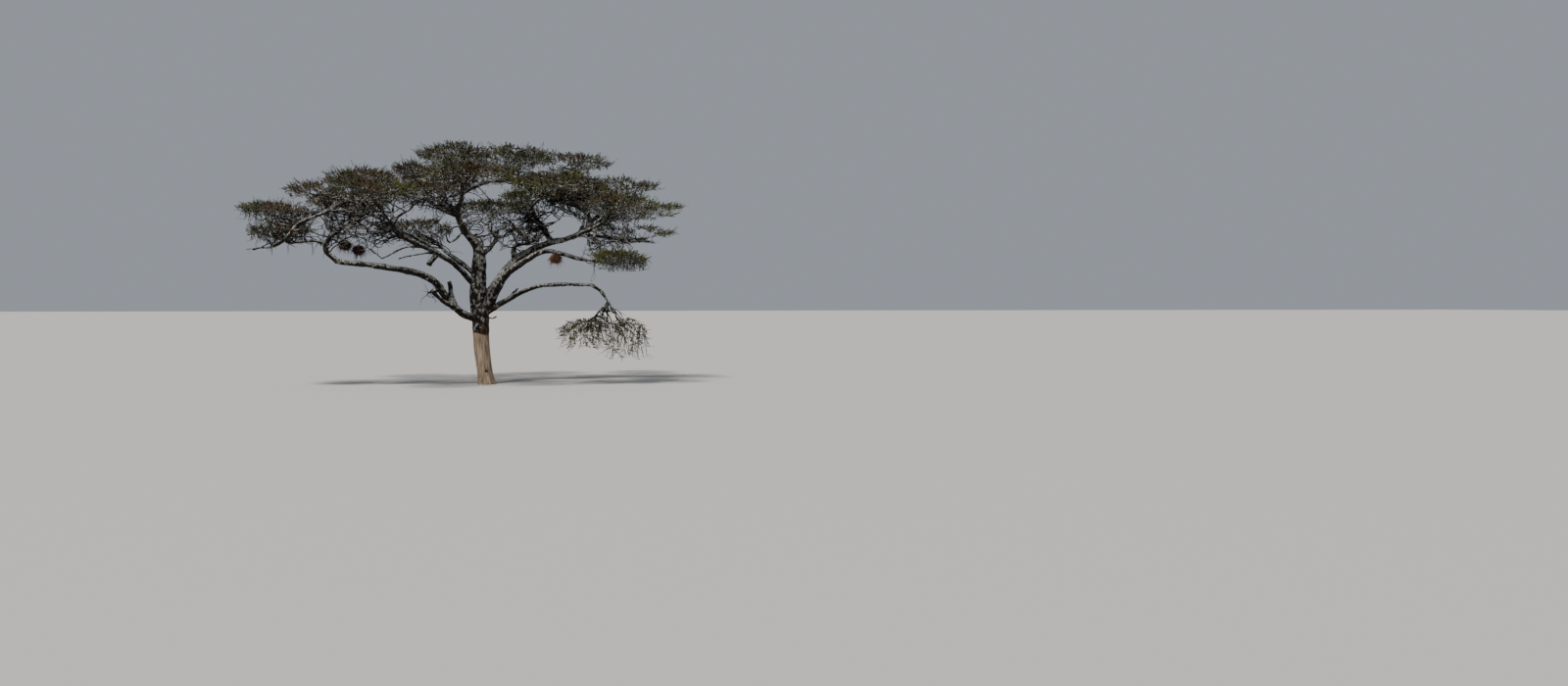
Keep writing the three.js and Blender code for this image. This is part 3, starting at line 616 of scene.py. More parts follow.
def tone(red, green, blue):
    """A colour seen on screen, 0 to 255 a channel, as the light that it reflects."""
    shares = (red / 255, green / 255, blue / 255)
    return tuple(c / 12.92 if c <= 0.04045 else ((c + 0.055) / 1.055) ** 2.4 for c in shares)


def facing_up(tree, low, high):
    """0 where a surface faces down or sideways and 1 where it faces up."""
    facing = tree.nodes.new("ShaderNodeNewGeometry")
    split = tree.nodes.new("ShaderNodeSeparateXYZ")
    tree.links.new(facing.outputs["Normal"], split.inputs["Vector"])
    return ramp_node(tree, split.outputs["Z"], low, high)


def bark_material():
    """Blackish cracked bark with pale lichen, more of it on upper sides as painted light,
    grey-tan rubbed wood with dark grooves painted as shade, and a knot hole painted dark as the
    shade in it.
    """
    material, tree, surface = shader("bark", tone(60, 54, 48), 0.95)
    place = tree.nodes.new("ShaderNodeTexCoord")
    split = tree.nodes.new("ShaderNodeSeparateXYZ")
    tree.links.new(place.outputs["Object"], split.inputs["Vector"])

    # the height, raised and lowered a little for ragged edges that slant with the trunk
    ragged = math_node(tree, noise_node(tree, 5, 4), "MULTIPLY", 0.5)
    slant = math_node(tree, split.outputs["X"], "MULTIPLY", 0.25)
    height = math_node(tree, math_node(tree, split.outputs["Z"], "ADD", ragged), "ADD", slant)

    # cracked dark bark
    cracks = noise_node(tree, 20, 7, (1, 1, 0.4))
    plates = ramp_node(tree, cracks, 0.42, 0.58)
    dark_bark = mix_node(tree, plates, tone(9, 8, 7), tone(44, 38, 33))

    # crusts of lichen, more of them on the right, that the cracks break up, and more on upper
    # sides as painted light: the tops of the wood are paler as if lit from above
    painted_top_light = math_node(tree, facing_up(tree, -0.35, 0.75), "MULTIPLY", 0.3)
    outer = math_node(tree, ramp_node(tree, split.outputs["X"], 1, 2.4), "MULTIPLY", 0.07)
    likely = math_node(tree, math_node(tree, noise_node(tree, 7, 7), "ADD", painted_top_light), "ADD", outer)
    patches = ramp_node(tree, likely, 0.58, 0.66)
    broken = math_node(tree, math_node(tree, plates, "MULTIPLY", 0.7), "ADD", 0.3)
    cover = math_node(tree, patches, "MULTIPLY", broken)
    crusts = ramp_node(tree, noise_node(tree, 45, 4), 0.35, 0.65)
    lichen = mix_node(tree, crusts, tone(104, 102, 96), tone(168, 167, 162))
    old_bark = mix_node(tree, cover, dark_bark, lichen)

    # a dark red-brown neck without lichen between the rubbed wood and the fork
    near_axis = math_node(tree, split.outputs["X"], "MINIMUM", 0.2)
    neck = math_node(tree, near_axis, "MULTIPLY", -1.3)
    clean = ramp_node(tree, math_node(tree, height, "ADD", neck), 2.3, 2.5)
    neck_bark = mix_node(tree, plates, tone(19, 13, 9), tone(80, 59, 45))
    upper = mix_node(tree, clean, neck_bark, old_bark)

    # rubbed wood, streaked along the grain, with dark lines painted as the shade in grooves along
    # it
    streaks = ramp_node(tree, noise_node(tree, 8, 6, (2.5, 2.5, 0.3)), 0.35, 0.68)
    rubbed = mix_node(tree, streaks, tone(124, 106, 89), tone(172, 152, 131))
    painted_groove_shade = ramp_node(tree, noise_node(tree, 16, 4, (2, 2, 0.16)), 0.58, 0.72)
    rubbed = mix_node(tree, painted_groove_shade, rubbed, tone(52, 40, 31))
    worn = ramp_node(tree, height, RUBBED_HEIGHT + 0.2, RUBBED_HEIGHT + 0.23)
    color = mix_node(tree, worn, rubbed, upper)

    # the knot hole: its shallow dent painted near-black as the shade inside it
    away = tree.nodes.new("ShaderNodeVectorMath")
    away.operation = "DISTANCE"
    tree.links.new(place.outputs["Object"], away.inputs[0])
    away.inputs[1].default_value = KNOT_HOLE
    edges = (KNOT_HOLE_RADIUS * 0.7, KNOT_HOLE_RADIUS * 1.1)
    knot_hole_shade = ramp_node(tree, away.outputs["Value"], *edges)
    tree.links.new(mix_node(tree, knot_hole_shade, tone(12, 9, 7), color), surface.inputs["Base Color"])

    grain = math_node(tree, noise_node(tree, 90, 4), "MULTIPLY", 0.4)
    relief = math_node(tree, cracks, "ADD", grain)
    bump_node(tree, relief, 0.8, 0.025, surface)
    return material


BARK = bark_material()
skin = add_piece("trunk_and_limbs", bark_mesh, BARK, True)
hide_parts("trunk", *LIMBS)


# The masses of foliage: each limb ends in a flat-topped cloud of sprays on forking twigs. The
# twigs below grow by the rule that shaped the part's own masses, and then go on to finer ones.
# A mass is on the limb of its own name unless another is named.
CROWN_LEVELS = (-0.6, 1)  # of the lowest and highest sprays, in a mass's half height
HANGING_LEVELS = (-1, 0.7)
MASSES = {
    "top_middle": dict(on="trunk", middle=(-0.85, -0.1, 7.29), half=(1.4, 1.7, 0.64)),
    "top_right": dict(middle=(1.05, -0.2, 7.25), half=(1.3, 1.6, 0.62)),
    "top_far_right": dict(
        middle=(2.95, 0.5, 7.3), half=(1.4, 1.5, 0.44), plate=0.7, shoots=36
    ),
    "top_left": dict(middle=(-2.05, -0.1, 6.82), half=(0.9, 1.4, 0.5)),
    "middle_left": dict(
        on="trunk", foot=(-0.87, 0, 5.8), middle=(-1.6, -1.7, 6.15), half=(1, 1, 0.48)
    ),
    "upper_left": dict(on="left_arm_rise", middle=(-3.95, -0.2, 6.54), half=(1.2, 1.5, 0.5)),
    "outer_left": dict(middle=(-5.2, 0, 6.1), half=(1.12, 1.4, 0.44), plate=0.7, shoots=38),
    "inner_left": dict(middle=(-2.8, -1.3, 6.02), half=(0.95, 1.1, 0.46)),
    "far_left_high": dict(
        on="far_left_limb", middle=(-6.42, -0.2, 5.48), half=(1.28, 1.3, 0.44), plate=0.15
    ),
    "far_left_low": dict(middle=(-6.4, -0.6, 4.84), half=(0.95, 1, 0.4), plate=0, shoots=80),
    "back_low_left": dict(middle=(-2.35, 2.3, 5.1), half=(1.35, 1.2, 0.5)),
    "back_middle": dict(middle=(0.4, 3.3, 6.02), half=(1.3, 1.5, 0.36)),
    "right_inner": dict(middle=(1.6, 0.8, 6.26), half=(1.1, 1.2, 0.36), shoots=70),
    "right_shoulder": dict(
        on="right_bough", middle=(4.55, 0.4, 6.42), half=(1.42, 1.4, 0.54), plate=0.7, shoots=36
    ),
    "right_rim_high": dict(
        middle=(5.22, -0.3, 5.68), half=(1.5, 1.4, 0.46), plate=0.7, shoots=33
    ),
    "right_rim_low": dict(
        middle=(5.2, 0.6, 4.97), half=(1.32, 1.3, 0.46), plate=0.7, shoots=34
    ),
    "right_low": dict(middle=(4.42, -1, 3.98), half=(1, 1.05, 0.5), plate=0.3, shoots=84),
    "hanging_left": dict(
        middle=(3.3, -1, 1.82), half=(1, 0.9, 0.56), levels=HANGING_LEVELS, droop=0.25,
        shoots=36,
    ),
    "hanging_right": dict(
        on="low_right_droop", middle=(4.6, -1, 1.66), half=(0.8, 0.9, 0.8),
        levels=HANGING_LEVELS, droop=0.3, shoots=36,
    ),
    "front_middle": dict(middle=(-0.5, -3.2, 6.55), half=(1.5, 1.6, 0.42)),
    "front_right": dict(middle=(2.3, -2.4, 6.35), half=(1.5, 1.5, 0.44)),
    "front_left": dict(middle=(-3.3, -3.1, 5.95), half=(1.4, 1.5, 0.46)),
    "front_far_right": dict(middle=(4.25, -2.5, 5.75), half=(1.3, 1.3, 0.44)),
    "back_right": dict(middle=(3.6, 2.9, 6.4), half=(1.5, 1.6, 0.48)),
    "back_left": dict(middle=(-4.6, 2.5, 6), half=(1.4, 1.5, 0.48)),
    "back_top": dict(middle=(-1.5, 2.6, 6.8), half=(1.4, 1.5, 0.48)),
    "bare_left": dict(
        on="left_arm_rise", foot=(-3.95, -0.72, 5.55), middle=(-3.85, -1.05, 4.95),
        half=(0.8, 0.8, 0.6), levels=HANGING_LEVELS, bare=True, shoots=6,
    ),
}
CROWN_SPRAYS = 8.8  # for each square metre of a mass's half width times its half depth
HANGING_SPRAYS = 13  # the same for a mass that hangs
SHOOTS_PER_SPRAY = 54
SHOOT_EDGE = 0.95  # how far out shoots start, of their mass's half size
PLATE_SHARE = 0.5  # how far a spray's shoots are drawn level with its own tip
SHOOT_SINK = 2.2  # the higher, the more of the shoots are near the roof of their mass
FLATNESS = 3
SPACE_MARGIN = 0.02  # between the rooms of two masses
SPRAY_ROOM = 1.3  # how far out a spray may lie, of its mass's half size
EDGE_WOBBLE = 0.05
SHOOT_LOBES = 0.7  # how deep the shoots' edge runs in on the near and far side of a mass
TURN_WOBBLE = 0.5
GOLDEN_ANGLE = math.pi * (3 - math.sqrt(5))
HUB_SHARE = 0.4  # how far a twig goes on towards the middle of its tips before it forks
FINE_HUB_SHARE = 0.7  # the same within a spray, whose shoots so spread out flat
SPRAYS_PER_HUB = 5
STEM_SHARE = 0.75  # of the limb's thickness at its tip
FORK_THINNING = 0.75
THINNEST_TWIG = 0.013
FINE_TWIG_FOOT = 0.011
FINE_TWIG = 0.009
THINNEST_FINE_TWIG = 0.005
SPRAY_HEART = 0.6  # how far from its hub to its tip the heart of a spray is
PLATE_LIFT = 0.06
WOOD_GAP = 0.03  # between the shoots' bends and the limbs
TWIG_KINKS = (0.33, 0.67)  # where a coarse twig is kinked between two forks
TWIG_KINK_SHARE = 0.3
THIRDS = (0, 2 * math.pi / 3, 4 * math.pi / 3)  # where the edges of a three-sided twig lie


def seeded_by(name):
    """A repeatable stream of numbers from 0 to 1, started by a name, as in the part's source."""
    state = 17
    for letter in name:
        state = (state * 31 + ord(letter)) % 2**32

    def following():
        nonlocal state
        state = (state * 1664525 + 1013904223) % 2**32
        return state / 2**32

    return following


def depth_in(mass, places):
    """How far out each place lies in a mass: 0 in its middle and 1 on its outer face."""
    away = (places - np.array(mass["middle"])) / np.array(mass["half"])
    plan = np.hypot(away[:, 0], away[:, 1])
    return (plan**FLATNESS + np.abs(away[:, 2]) ** FLATNESS) ** (1 / FLATNESS)


def own_places(name, places):
    """Those places that lie in a mass's room and deeper in it than in any other mass."""
    depth = depth_in(MASSES[name], places)
    others = [depth_in(mass, places) for other, mass in MASSES.items() if other != name]
    return places[(depth <= SPRAY_ROOM) & (depth + SPACE_MARGIN < np.min(others, axis=0))]


def spread_places(name, density, seed, edge=1, sink=2, lobes=0):
    """Places evenly spread in plan over a mass, most of them near the roof of its space."""
    mass = MASSES[name]
    a, b, c = mass["half"]
    low, high = mass.get("levels", CROWN_LEVELS)
    count = math.floor(density * a * b + 0.5)
    following = seeded_by(seed)
    places = []
    for i in range(count):
        out = edge * math.sqrt((i + 1) / count) * (1 - EDGE_WOBBLE * following())
        turn = i * GOLDEN_ANGLE + TURN_WOBBLE * (following() - 0.5)
        level = high + (low - high) * following() ** sink
        roof = max(1 - out**FLATNESS, 0) ** (1 / FLATNESS)
        rise = c * roof * level - mass.get("droop", 0) * out**2
        # each mass takes its own ring of the noise, as its place along X sets the level
        round_it = Vector((2 * math.cos(turn), 2 * math.sin(turn), 5 * mass["middle"][0]))
        out *= 1 - lobes * math.sin(turn) ** 2 * max(0, noise.noise(round_it))
        places.append((a * out * math.cos(turn), b * out * math.sin(turn), rise))
    return own_places(name, np.array(places) + np.array(mass["middle"]))


def share_out(places, groups):
    """Places shared into groups of even size along the way in which they spread most."""
    size = places.max(axis=0) - places.min(axis=0)
    axis = 0 if size[0] > size[1] else 1
    ordered = places[np.argsort(places[:, axis], kind="stable")]
    edges = [math.floor(group * len(places) / groups + 0.5) for group in range(groups + 1)]
    return [ordered[low:high] for low, high in zip(edges, edges[1:])]


def grow(twig, tips, radius, thinnest, kept, share=HUB_SHARE):
    """Carries a twig on towards its tips and forks it, until few enough tips are left."""
    hub = twig["places"][-1] * (1 - share) + tips.mean(axis=0) * share
    twig["places"].append(hub)
    twig["radii"].append(radius)
    if len(tips) <= SPRAYS_PER_HUB:
        kept["ends"] += [(hub, tip, radius) for tip in tips]
        return
    groups = share_out(tips, 3 if len(tips) > 3 * SPRAYS_PER_HUB else 2)
    thinner = max(radius * FORK_THINNING, thinnest)
    straightest = len(groups) // 2
    for i, group in enumerate(groups):
        fork = twig
        if i != straightest:
            fork = {"places": [hub], "radii": [thinner]}
            kept["twigs"].append(fork)
        grow(fork, group, thinner, thinnest, kept, share)


wood_places = np.concatenate(list(lines.values()))
wood_radii = np.concatenate(list(girths.values())) / 2


def clear_of_wood(places, gap):
    """Those places that are further than a gap from every limb."""
    gaps = [np.min(np.linalg.norm(wood_places - place, axis=1) - wood_radii) for place in places]
    return places[np.array(gaps) > gap]


def grow_mass(name):
    """A mass's twigs, and for each of its sprays the finer twigs and the shoots at their ends."""
    mass = MASSES[name]
    limb = mass.get("on", f"{name}_limb")
    start = nearest_on(lines[limb], mass["foot"]) if "foot" in mass else lines[limb][-1]
    tip_radius = girths[limb][-1] / 2
    density = HANGING_SPRAYS if "levels" in mass else CROWN_SPRAYS
    thick = tip_radius * STEM_SHARE
    stem = {"places": [start], "radii": [thick]}
    coarse = {"twigs": [stem], "ends": []}
    grow(stem, spread_places(name, density, name), thick, THINNEST_TWIG, coarse)
    shoots_each = mass.get("shoots", SHOOTS_PER_SPRAY)
    places = spread_places(
        name, density * shoots_each, f"{name}_shoots", SHOOT_EDGE, SHOOT_SINK, SHOOT_LOBES
    )
    places = clear_of_wood(places, WOOD_GAP)
    hearts = [hub * (1 - SPRAY_HEART) + tip * SPRAY_HEART for hub, tip, radius in coarse["ends"]]
    hearts = np.array(hearts)
    nearest = np.argmin(np.linalg.norm(places[:, None] - hearts[None], axis=2), axis=1)
    sprays = []
    for i, (hub, tip, radius) in enumerate(coarse["ends"]):
        tips = places[nearest == i]
        if len(tips) == 0:
            continue
        if "levels" not in mass:
            tips[:, 2] += mass.get("plate", PLATE_SHARE) * (tip[2] + PLATE_LIFT - tips[:, 2])
        twig = {"places": [hub], "radii": [FINE_TWIG_FOOT]}
        spray = {"twigs": [twig], "ends": []}
        grow(twig, tips, FINE_TWIG, THINNEST_FINE_TWIG, spray, FINE_HUB_SHARE)
        sprays.append(spray)
    return coarse["twigs"], sprays


def kinked_twig(twig, following, kinks):
    """A twig with kinks between each two of its forks, as rows of places and radii."""
    places = [twig["places"][0]]
    radii = [twig["radii"][0]]
    for start, end, thick, thin in zip(
        twig["places"], twig["places"][1:], twig["radii"], twig["radii"][1:]
    ):
        gap = np.linalg.norm(end - start)
        for share in kinks:
            aside = np.array([following() - 0.5, following() - 0.5, following() - 0.5])
            places.append(start + (end - start) * share + aside * gap * TWIG_KINK_SHARE)
            radii.append(thick + (thin - thick) * share)
        places.append(end)
        radii.append(thin)
    return np.array(places), np.array(radii)


def three_sided(places, radii):
    """The corners and three-sided faces of a closed three-sided twig that ends in a point."""
    along = np.gradient(places, axis=0)
    along /= np.linalg.norm(along, axis=1)[:, None] + 1e-9
    aside = np.cross(along, np.where(np.abs(along[:, 2:3]) > 0.9, [[1.0, 0, 0]], [[0, 0, 1.0]]))
    aside /= np.linalg.norm(aside, axis=1)[:, None]
    over = np.cross(along, aside)
    rings = []
    for turn in THIRDS:
        rings.append(places + radii[:, None] * (math.cos(turn) * aside + math.sin(turn) * over))
    corners = np.stack(rings, axis=1).reshape(-1, 3)
    faces = [(0, 2, 1)]
    last = len(places) - 1
    for ring in range(last):
        for side in range(3):
            a = 3 * ring + side
            b = 3 * ring + (side + 1) % 3
            faces += [(a, b, b + 3), (a, b + 3, a + 3)]
    faces.append((3 * last, 3 * last + 1, 3 * last + 2))
    return corners, np.array(faces)


def joined(parts):
    """Many parts' corners and faces as one."""
    starts = np.cumsum([0] + [len(corners) for corners, faces in parts[:-1]])
    corners = np.concatenate([corners for corners, faces in parts])
    faces = np.concatenate([faces + start for (corners, faces), start in zip(parts, starts)])
    return corners, faces


masses = {name: grow_mass(name) for name in MASSES}
bend_twigs = seeded_by("bend twigs")
twig_parts = {"twigs": [], "fine_twigs": [], "hanging_twigs": []}
for name, (coarse_twigs, sprays) in masses.items():
    hangs = "droop" in MASSES[name]
    fine_twigs = sum((spray["twigs"] for spray in sprays), [])
    for kind, twigs in (("twigs", coarse_twigs), ("fine_twigs", fine_twigs)):
        kinks = TWIG_KINKS if kind == "twigs" else ()
        parts = [three_sided(*kinked_twig(twig, bend_twigs, kinks)) for twig in twigs]
        twig_parts["hanging_twigs" if hangs else kind] += parts


def twig_material(name, color, dark):
    """Thin grey bark, a little mottled, painted pale on top as if lit from above and dark below
    as painted shade.
    """
    material, tree, surface = shader(name, color, 0.9)
    painted_top_light = math_node(tree, facing_up(tree, -0.3, 0.8), "MULTIPLY", 0.3)
    mottle_and_top_light = ramp_node(tree, math_node(tree, noise_node(tree, 9, 5), "ADD", painted_top_light), 0.58, 0.78)
    tree.links.new(mix_node(tree, mottle_and_top_light, dark, color), surface.inputs["Base Color"])
    bump_node(tree, noise_node(tree, 160, 3), 0.4, 0.004, surface)
    return material


def twig_piece(name, solids, material):
    """A piece of the tree made of many thin solids, from their corners and faces."""
    return add_piece(name, mesh_from(name, *solids), material, False)


# each twig bark: first the colour of its lit tops, then its dark, the painted shade below and the
# dark of its mottle
TWIG_BARK = twig_material("twig_bark", tone(158, 157, 152), tone(17, 15, 13))
YOUNG_BARK = twig_material("young_bark", tone(104, 92, 64), tone(34, 28, 17))
twig_piece("twigs", joined(twig_parts["twigs"]), TWIG_BARK)
twig_piece("fine_twigs", joined(twig_parts["fine_twigs"]), TWIG_BARK)
twig_piece("hanging_twigs", joined(twig_parts["hanging_twigs"]), YOUNG_BARK)


# The bare twigs: crooked wands of old wood, as thick as a finger, that twist about between the
# limbs and the foliage. Some feed the masses; others, long dead, form tangles of their own.
TANGLES = {
    "over_the_nests": dict(middle=(-4.05, -0.9, 5.15), half=(0.9, 0.6, 0.6), twigs=64),
    "under_upper_left": dict(middle=(-4.1, -0.6, 5.95), half=(1, 0.6, 0.3), twigs=22, leafy=True),
    "under_far_left": dict(
        middle=(-6.2, -0.6, 5.15), half=(0.8, 0.6, 0.35), twigs=34, leafy=True
    ),
    "left_of_leader": dict(middle=(-1.6, -0.5, 6.15), half=(0.9, 0.7, 0.25), twigs=16),
    "in_front_of_leader": dict(middle=(-1.3, -1.7, 5.95), half=(0.7, 0.5, 0.2), twigs=20),
    "right_of_leader": dict(middle=(0.25, 0.2, 5.6), half=(0.95, 0.6, 0.55), twigs=36),
    "in_the_fork": dict(middle=(1.1, 0.1, 5.05), half=(0.75, 0.5, 0.28), twigs=26, leafy=True),
    "over_the_curl": dict(middle=(1.5, 0.2, 5.55), half=(0.45, 0.5, 0.4), twigs=24),
    "round_the_inner_limb": dict(
        middle=(2.6, 0.3, 6.1), half=(0.6, 0.4, 0.16), twigs=26, leafy=True
    ),
    "under_the_top_right": dict(middle=(2, 0, 6.95), half=(1.2, 0.8, 0.22), twigs=44, leafy=True),
    "under_the_rim": dict(middle=(4.2, 0, 4.95), half=(0.7, 0.7, 0.45), twigs=30),
    "under_the_shoulder": dict(
        middle=(4.4, 0.2, 5.95), half=(0.9, 0.6, 0.35), twigs=26, leafy=True
    ),
    "under_low_left": dict(middle=(-2.1, 0.8, 4.95), half=(0.8, 0.8, 0.3), twigs=14),
    "on_the_broken_limb": dict(middle=(-1.75, -0.95, 3.2), half=(0.1, 0.1, 0.14), twigs=2),
    "at_the_droop": dict(middle=(3.9, -1, 2.15), half=(0.6, 0.5, 0.3), twigs=10),
}
FEEDERS_PER_MASS = 12
TANGLE_RADII = (0.018, 0.034)
TANGLE_END = 0.012
TANGLE_REACH = (0.15, 1.1)  # how near and how far the wood is that a twig grows from
FEEDER_RADII = (0.016, 0.03)
FEEDER_END = 0.01
FEEDER_REACH = (0.3, 1.3)
FOOT_RISE = 0.6  # how much higher or lower than its goal a twig's foot may be
SIDE_TWIGS = 4
SIDE_TWIG_REACH = 0.14
POINT_RADIUS = 0.004
STRIDE = 0.075  # between two bends of a bare twig
CROOKEDNESS = 0.5
STRAYING = 0.45  # of a stride, off the straight way to the goal
CURL = 0.55  # how far a dead twig turns at each of its last bends
CURL_SPREAD = (0.5, 1.5)  # of that turn, from one bend to the next
CURL_STEPS = 6

random = np.random.default_rng(11)


def wander(start, goal, steps_on):
    """A crooked path from its wood to a goal, which then curls round by some more steps."""
    steps = max(3, round(np.linalg.norm(goal - start) / STRIDE))
    way = (goal - start) / (np.linalg.norm(goal - start) + 1e-6)
    places = [start]
    for step in range(steps):
        left = steps - step
        way = way + random.normal(0, CROOKEDNESS, 3)
        way /= np.linalg.norm(way)
        straight = (goal - places[-1]) / left
        places.append(places[-1] + STRAYING * way * STRIDE + straight)
    axis = Vector(random.normal(0, 1, 3)).cross(Vector(way)).normalized()
    way = Vector(places[-1] - places[-2]).normalized()
    for step in range(steps_on):
        way.rotate(Quaternion(axis, CURL * random.uniform(*CURL_SPREAD)))
        places.append(places[-1] + np.array(way) * STRIDE)
    return np.array(places)


def near_wood(goal, closest, furthest):
    """A place on some limb between two distances from a goal, or else the nearest of all."""
    away = np.linalg.norm(wood_places - goal, axis=1)
    level = np.abs(wood_places[:, 2] - goal[2]) < FOOT_RISE
    options = np.flatnonzero((away > closest) & (away < furthest) & level)
    return wood_places[random.choice(options) if len(options) else np.argmin(away)]


def with_side_twigs(path, thick, thin):
    """A twig as places and radii, and a few thin ones that leave it."""
    twigs = [(path, np.linspace(thick, thin, len(path)))]
    for place in path[random.choice(np.arange(1, len(path) - 1), SIDE_TWIGS)]:
        side = wander(place, place + random.normal(0, SIDE_TWIG_REACH, 3), 2)
        twigs.append((side, np.linspace(thin, POINT_RADIUS, len(side))))
    return twigs


DEAD_BARK = twig_material("dead_bark", tone(118, 116, 112), tone(13, 11, 10))
bare_twigs = []
under_shoots = []
for tangle in TANGLES.values():
    for _ in range(tangle["twigs"]):
        goal = np.array(tangle["middle"]) + np.array(tangle["half"]) * random.uniform(-1, 1, 3)
        path = wander(near_wood(goal, *TANGLE_REACH), goal, CURL_STEPS)
        grown = with_side_twigs(path, random.uniform(*TANGLE_RADII), TANGLE_END)
        bare_twigs += grown
        if tangle.get("leafy"):
            under_shoots += [(side[0], side[2], side[-1]) for side, radii in grown[1:]]
for name, (coarse_twigs, sprays) in masses.items():
    for twig in coarse_twigs[:FEEDERS_PER_MASS]:
        hub = twig["places"][-1]
        path = wander(near_wood(hub, *FEEDER_REACH), hub, 0)
        path[-1] = hub
        fed = with_side_twigs(path, random.uniform(*FEEDER_RADII), FEEDER_END)
        bare_twigs += fed
        under_shoots += [(side[0], side[2], side[-1]) for side, radii in fed[1:]]
bare_parts = [three_sided(places, radii) for places, radii in bare_twigs]
twig_piece("bare_twigs", joined(bare_parts), DEAD_BARK)


# The shoots and leaves: thin green-grey wands at the ends of the twigs, bent up and out, that
# give the crown its spiky edge, and the small folded leaves all round them, in six tints, one of
# them near-black as painted shade.
SHOOT_RADIUS = 0.0035
UNDER_TWIG_RADIUS = 0.007
SHOOT_FOOT = 1.3  # how much thicker a shoot is at its foot than at its bend
FLICK_OUT = 0.1  # how far a shoot's tip bends out, up and any way
FLICK_UP = 0.08
FLICK_ASIDE = 0.04
OUT_SPREAD = (0.2, 1.4)  # of the bends out and up, from one shoot to the next
UP_SPREAD = (-0.2, 1.6)
LONG_FLICK = 2
LONG_SHARE = 0.14  # how many of the shoots are long
HANGING_FLICK = -0.7  # a hanging mass's shoots bend down
UNDER_FLICK = 0.3  # the bare ones under a mass hardly bend up
REACH_PAST = (0.024, 0.024, 0.012)  # how far tips may pass the solids' box, as shares of it
BARE_LEVELS = (-0.3, 0.55)  # from none to all bare, in a mass's half height
TINTS = {
    # near-black sprays painted as the shade inside the crown
    "leaves_shade": tone(27, 26, 18),
    "leaves_brown": tone(98, 80, 57),
    "leaves_grey": tone(104, 102, 90),
    "leaves_olive": tone(73, 73, 46),
    "leaves_light": tone(96, 96, 62),
    "leaves_bright": tone(110, 112, 62),
}
# right_inner leans far to green partly for its own bright olive and partly as painted light:
# bright tints and few painted-shade sprays offset the shade of the masses above it
BROWNER = {  # how much more brown, or if negative more green, a mass is than the rest
    "upper_left": 0.15, "outer_left": 0.2, "middle_left": 0.1, "far_left_high": 0.26,
    "far_left_low": 0.18, "right_inner": -0.5, "right_low": -0.5, "right_rim_low": -0.1,
    "right_shoulder": -0.05, "front_right": -0.04, "top_left": 0.05, "top_middle": -0.1,
    "front_middle": -0.06, "hanging_left": -0.12, "hanging_right": -0.12, "under": 0.1,
}
PAINTED_SHADE_SHARES = ((-0.2, 0.04), (0.12, 0.36), (1, 0.26))  # sprays painted dark as shade, by how brown a mass is
WIDE_PATCHES = 0.9  # to a metre, and the small ones on top of them
SMALL_PATCHES = 6
SMALL_PATCH_SHARE = 0.3
PATCH_TINTS = (("brown", 0.2), ("grey", 0.1), ("olive", -0.17), ("light", -0.38))
LEAVES_PER_SHOOT = 16
FIRST_LEAF = 0.25  # of the way along its shoot
LEAF_STRAYING = 0.03
FULL_TURN = 6.28
LEAF_LENGTHS = (0.04, 0.065)
LEAF_SCALE = 1.15  # of that length, and how much less of it at the shoot's tip
LEAF_SHORTENING = 0.45
LEAF_HALF_WIDTHS = (0.008, 0.012)
LEAF_LEANS = (0.35, 0.9)  # in radians from the way the shoot runs
ASKEW = (0.31, 0.52, 0.79)  # a way that hardly any shoot runs


def tint_of(name, place):
    """Which tint a spray takes: near-black ones all over a crown as painted shade, with brown and
    olive patches.
    """
    leaning = BROWNER.get(name, 0)
    dark = next(share for highest, share in PAINTED_SHADE_SHARES if leaning <= highest)
    if random.random() < dark:
        return "leaves_shade"
    place = Vector(place)
    small = SMALL_PATCH_SHARE * noise.noise(place * SMALL_PATCHES)
    patch = noise.noise(place * WIDE_PATCHES) + small + leaning
    for tint, above in PATCH_TINTS:
        if patch > above:
            return f"leaves_{tint}"
    return "leaves_bright"


shoots = {tint: [] for tint in TINTS}
for ends in under_shoots:
    shoots[tint_of("under", ends[0])].append(ends)
bare_shoots = []
under_twigs = []
for name, (coarse_twigs, sprays) in masses.items():
    mass = MASSES[name]
    middle = np.array(mass["middle"])
    for hub, tip, radius in sum((spray["ends"] for spray in sprays), []):
        out = (tip - middle) * (1, 1, 0)
        out /= np.linalg.norm(out) + 1e-6
        flick = out * FLICK_OUT * random.uniform(*OUT_SPREAD)
        flick += np.array([0, 0, FLICK_UP * random.uniform(*UP_SPREAD)])
        flick *= LONG_FLICK if random.random() < LONG_SHARE else 1
        flick += random.normal(0, FLICK_ASIDE, 3)
        if "droop" in mass:
            flick[2] *= HANGING_FLICK
        level = (tip[2] - middle[2]) / mass["half"][2]
        if mass.get("bare"):
            bare_shoots.append((hub, tip, tip + flick))
        elif level < random.uniform(*BARE_LEVELS) and "droop" not in mass:
            under_twigs.append((hub, tip, tip + flick * (1, 1, UNDER_FLICK)))
        else:
            shoots[tint_of(name, hub)].append((hub, tip, tip + flick))


box_low, box_high = (np.array(corner) for corner in cad_box)
room = (box_high - box_low) * REACH_PAST
for ends in (*shoots.values(), under_twigs):
    for i, (hub, bend, tip) in enumerate(ends):
        ends[i] = (hub, bend, np.clip(tip, box_low - room, box_high + room))


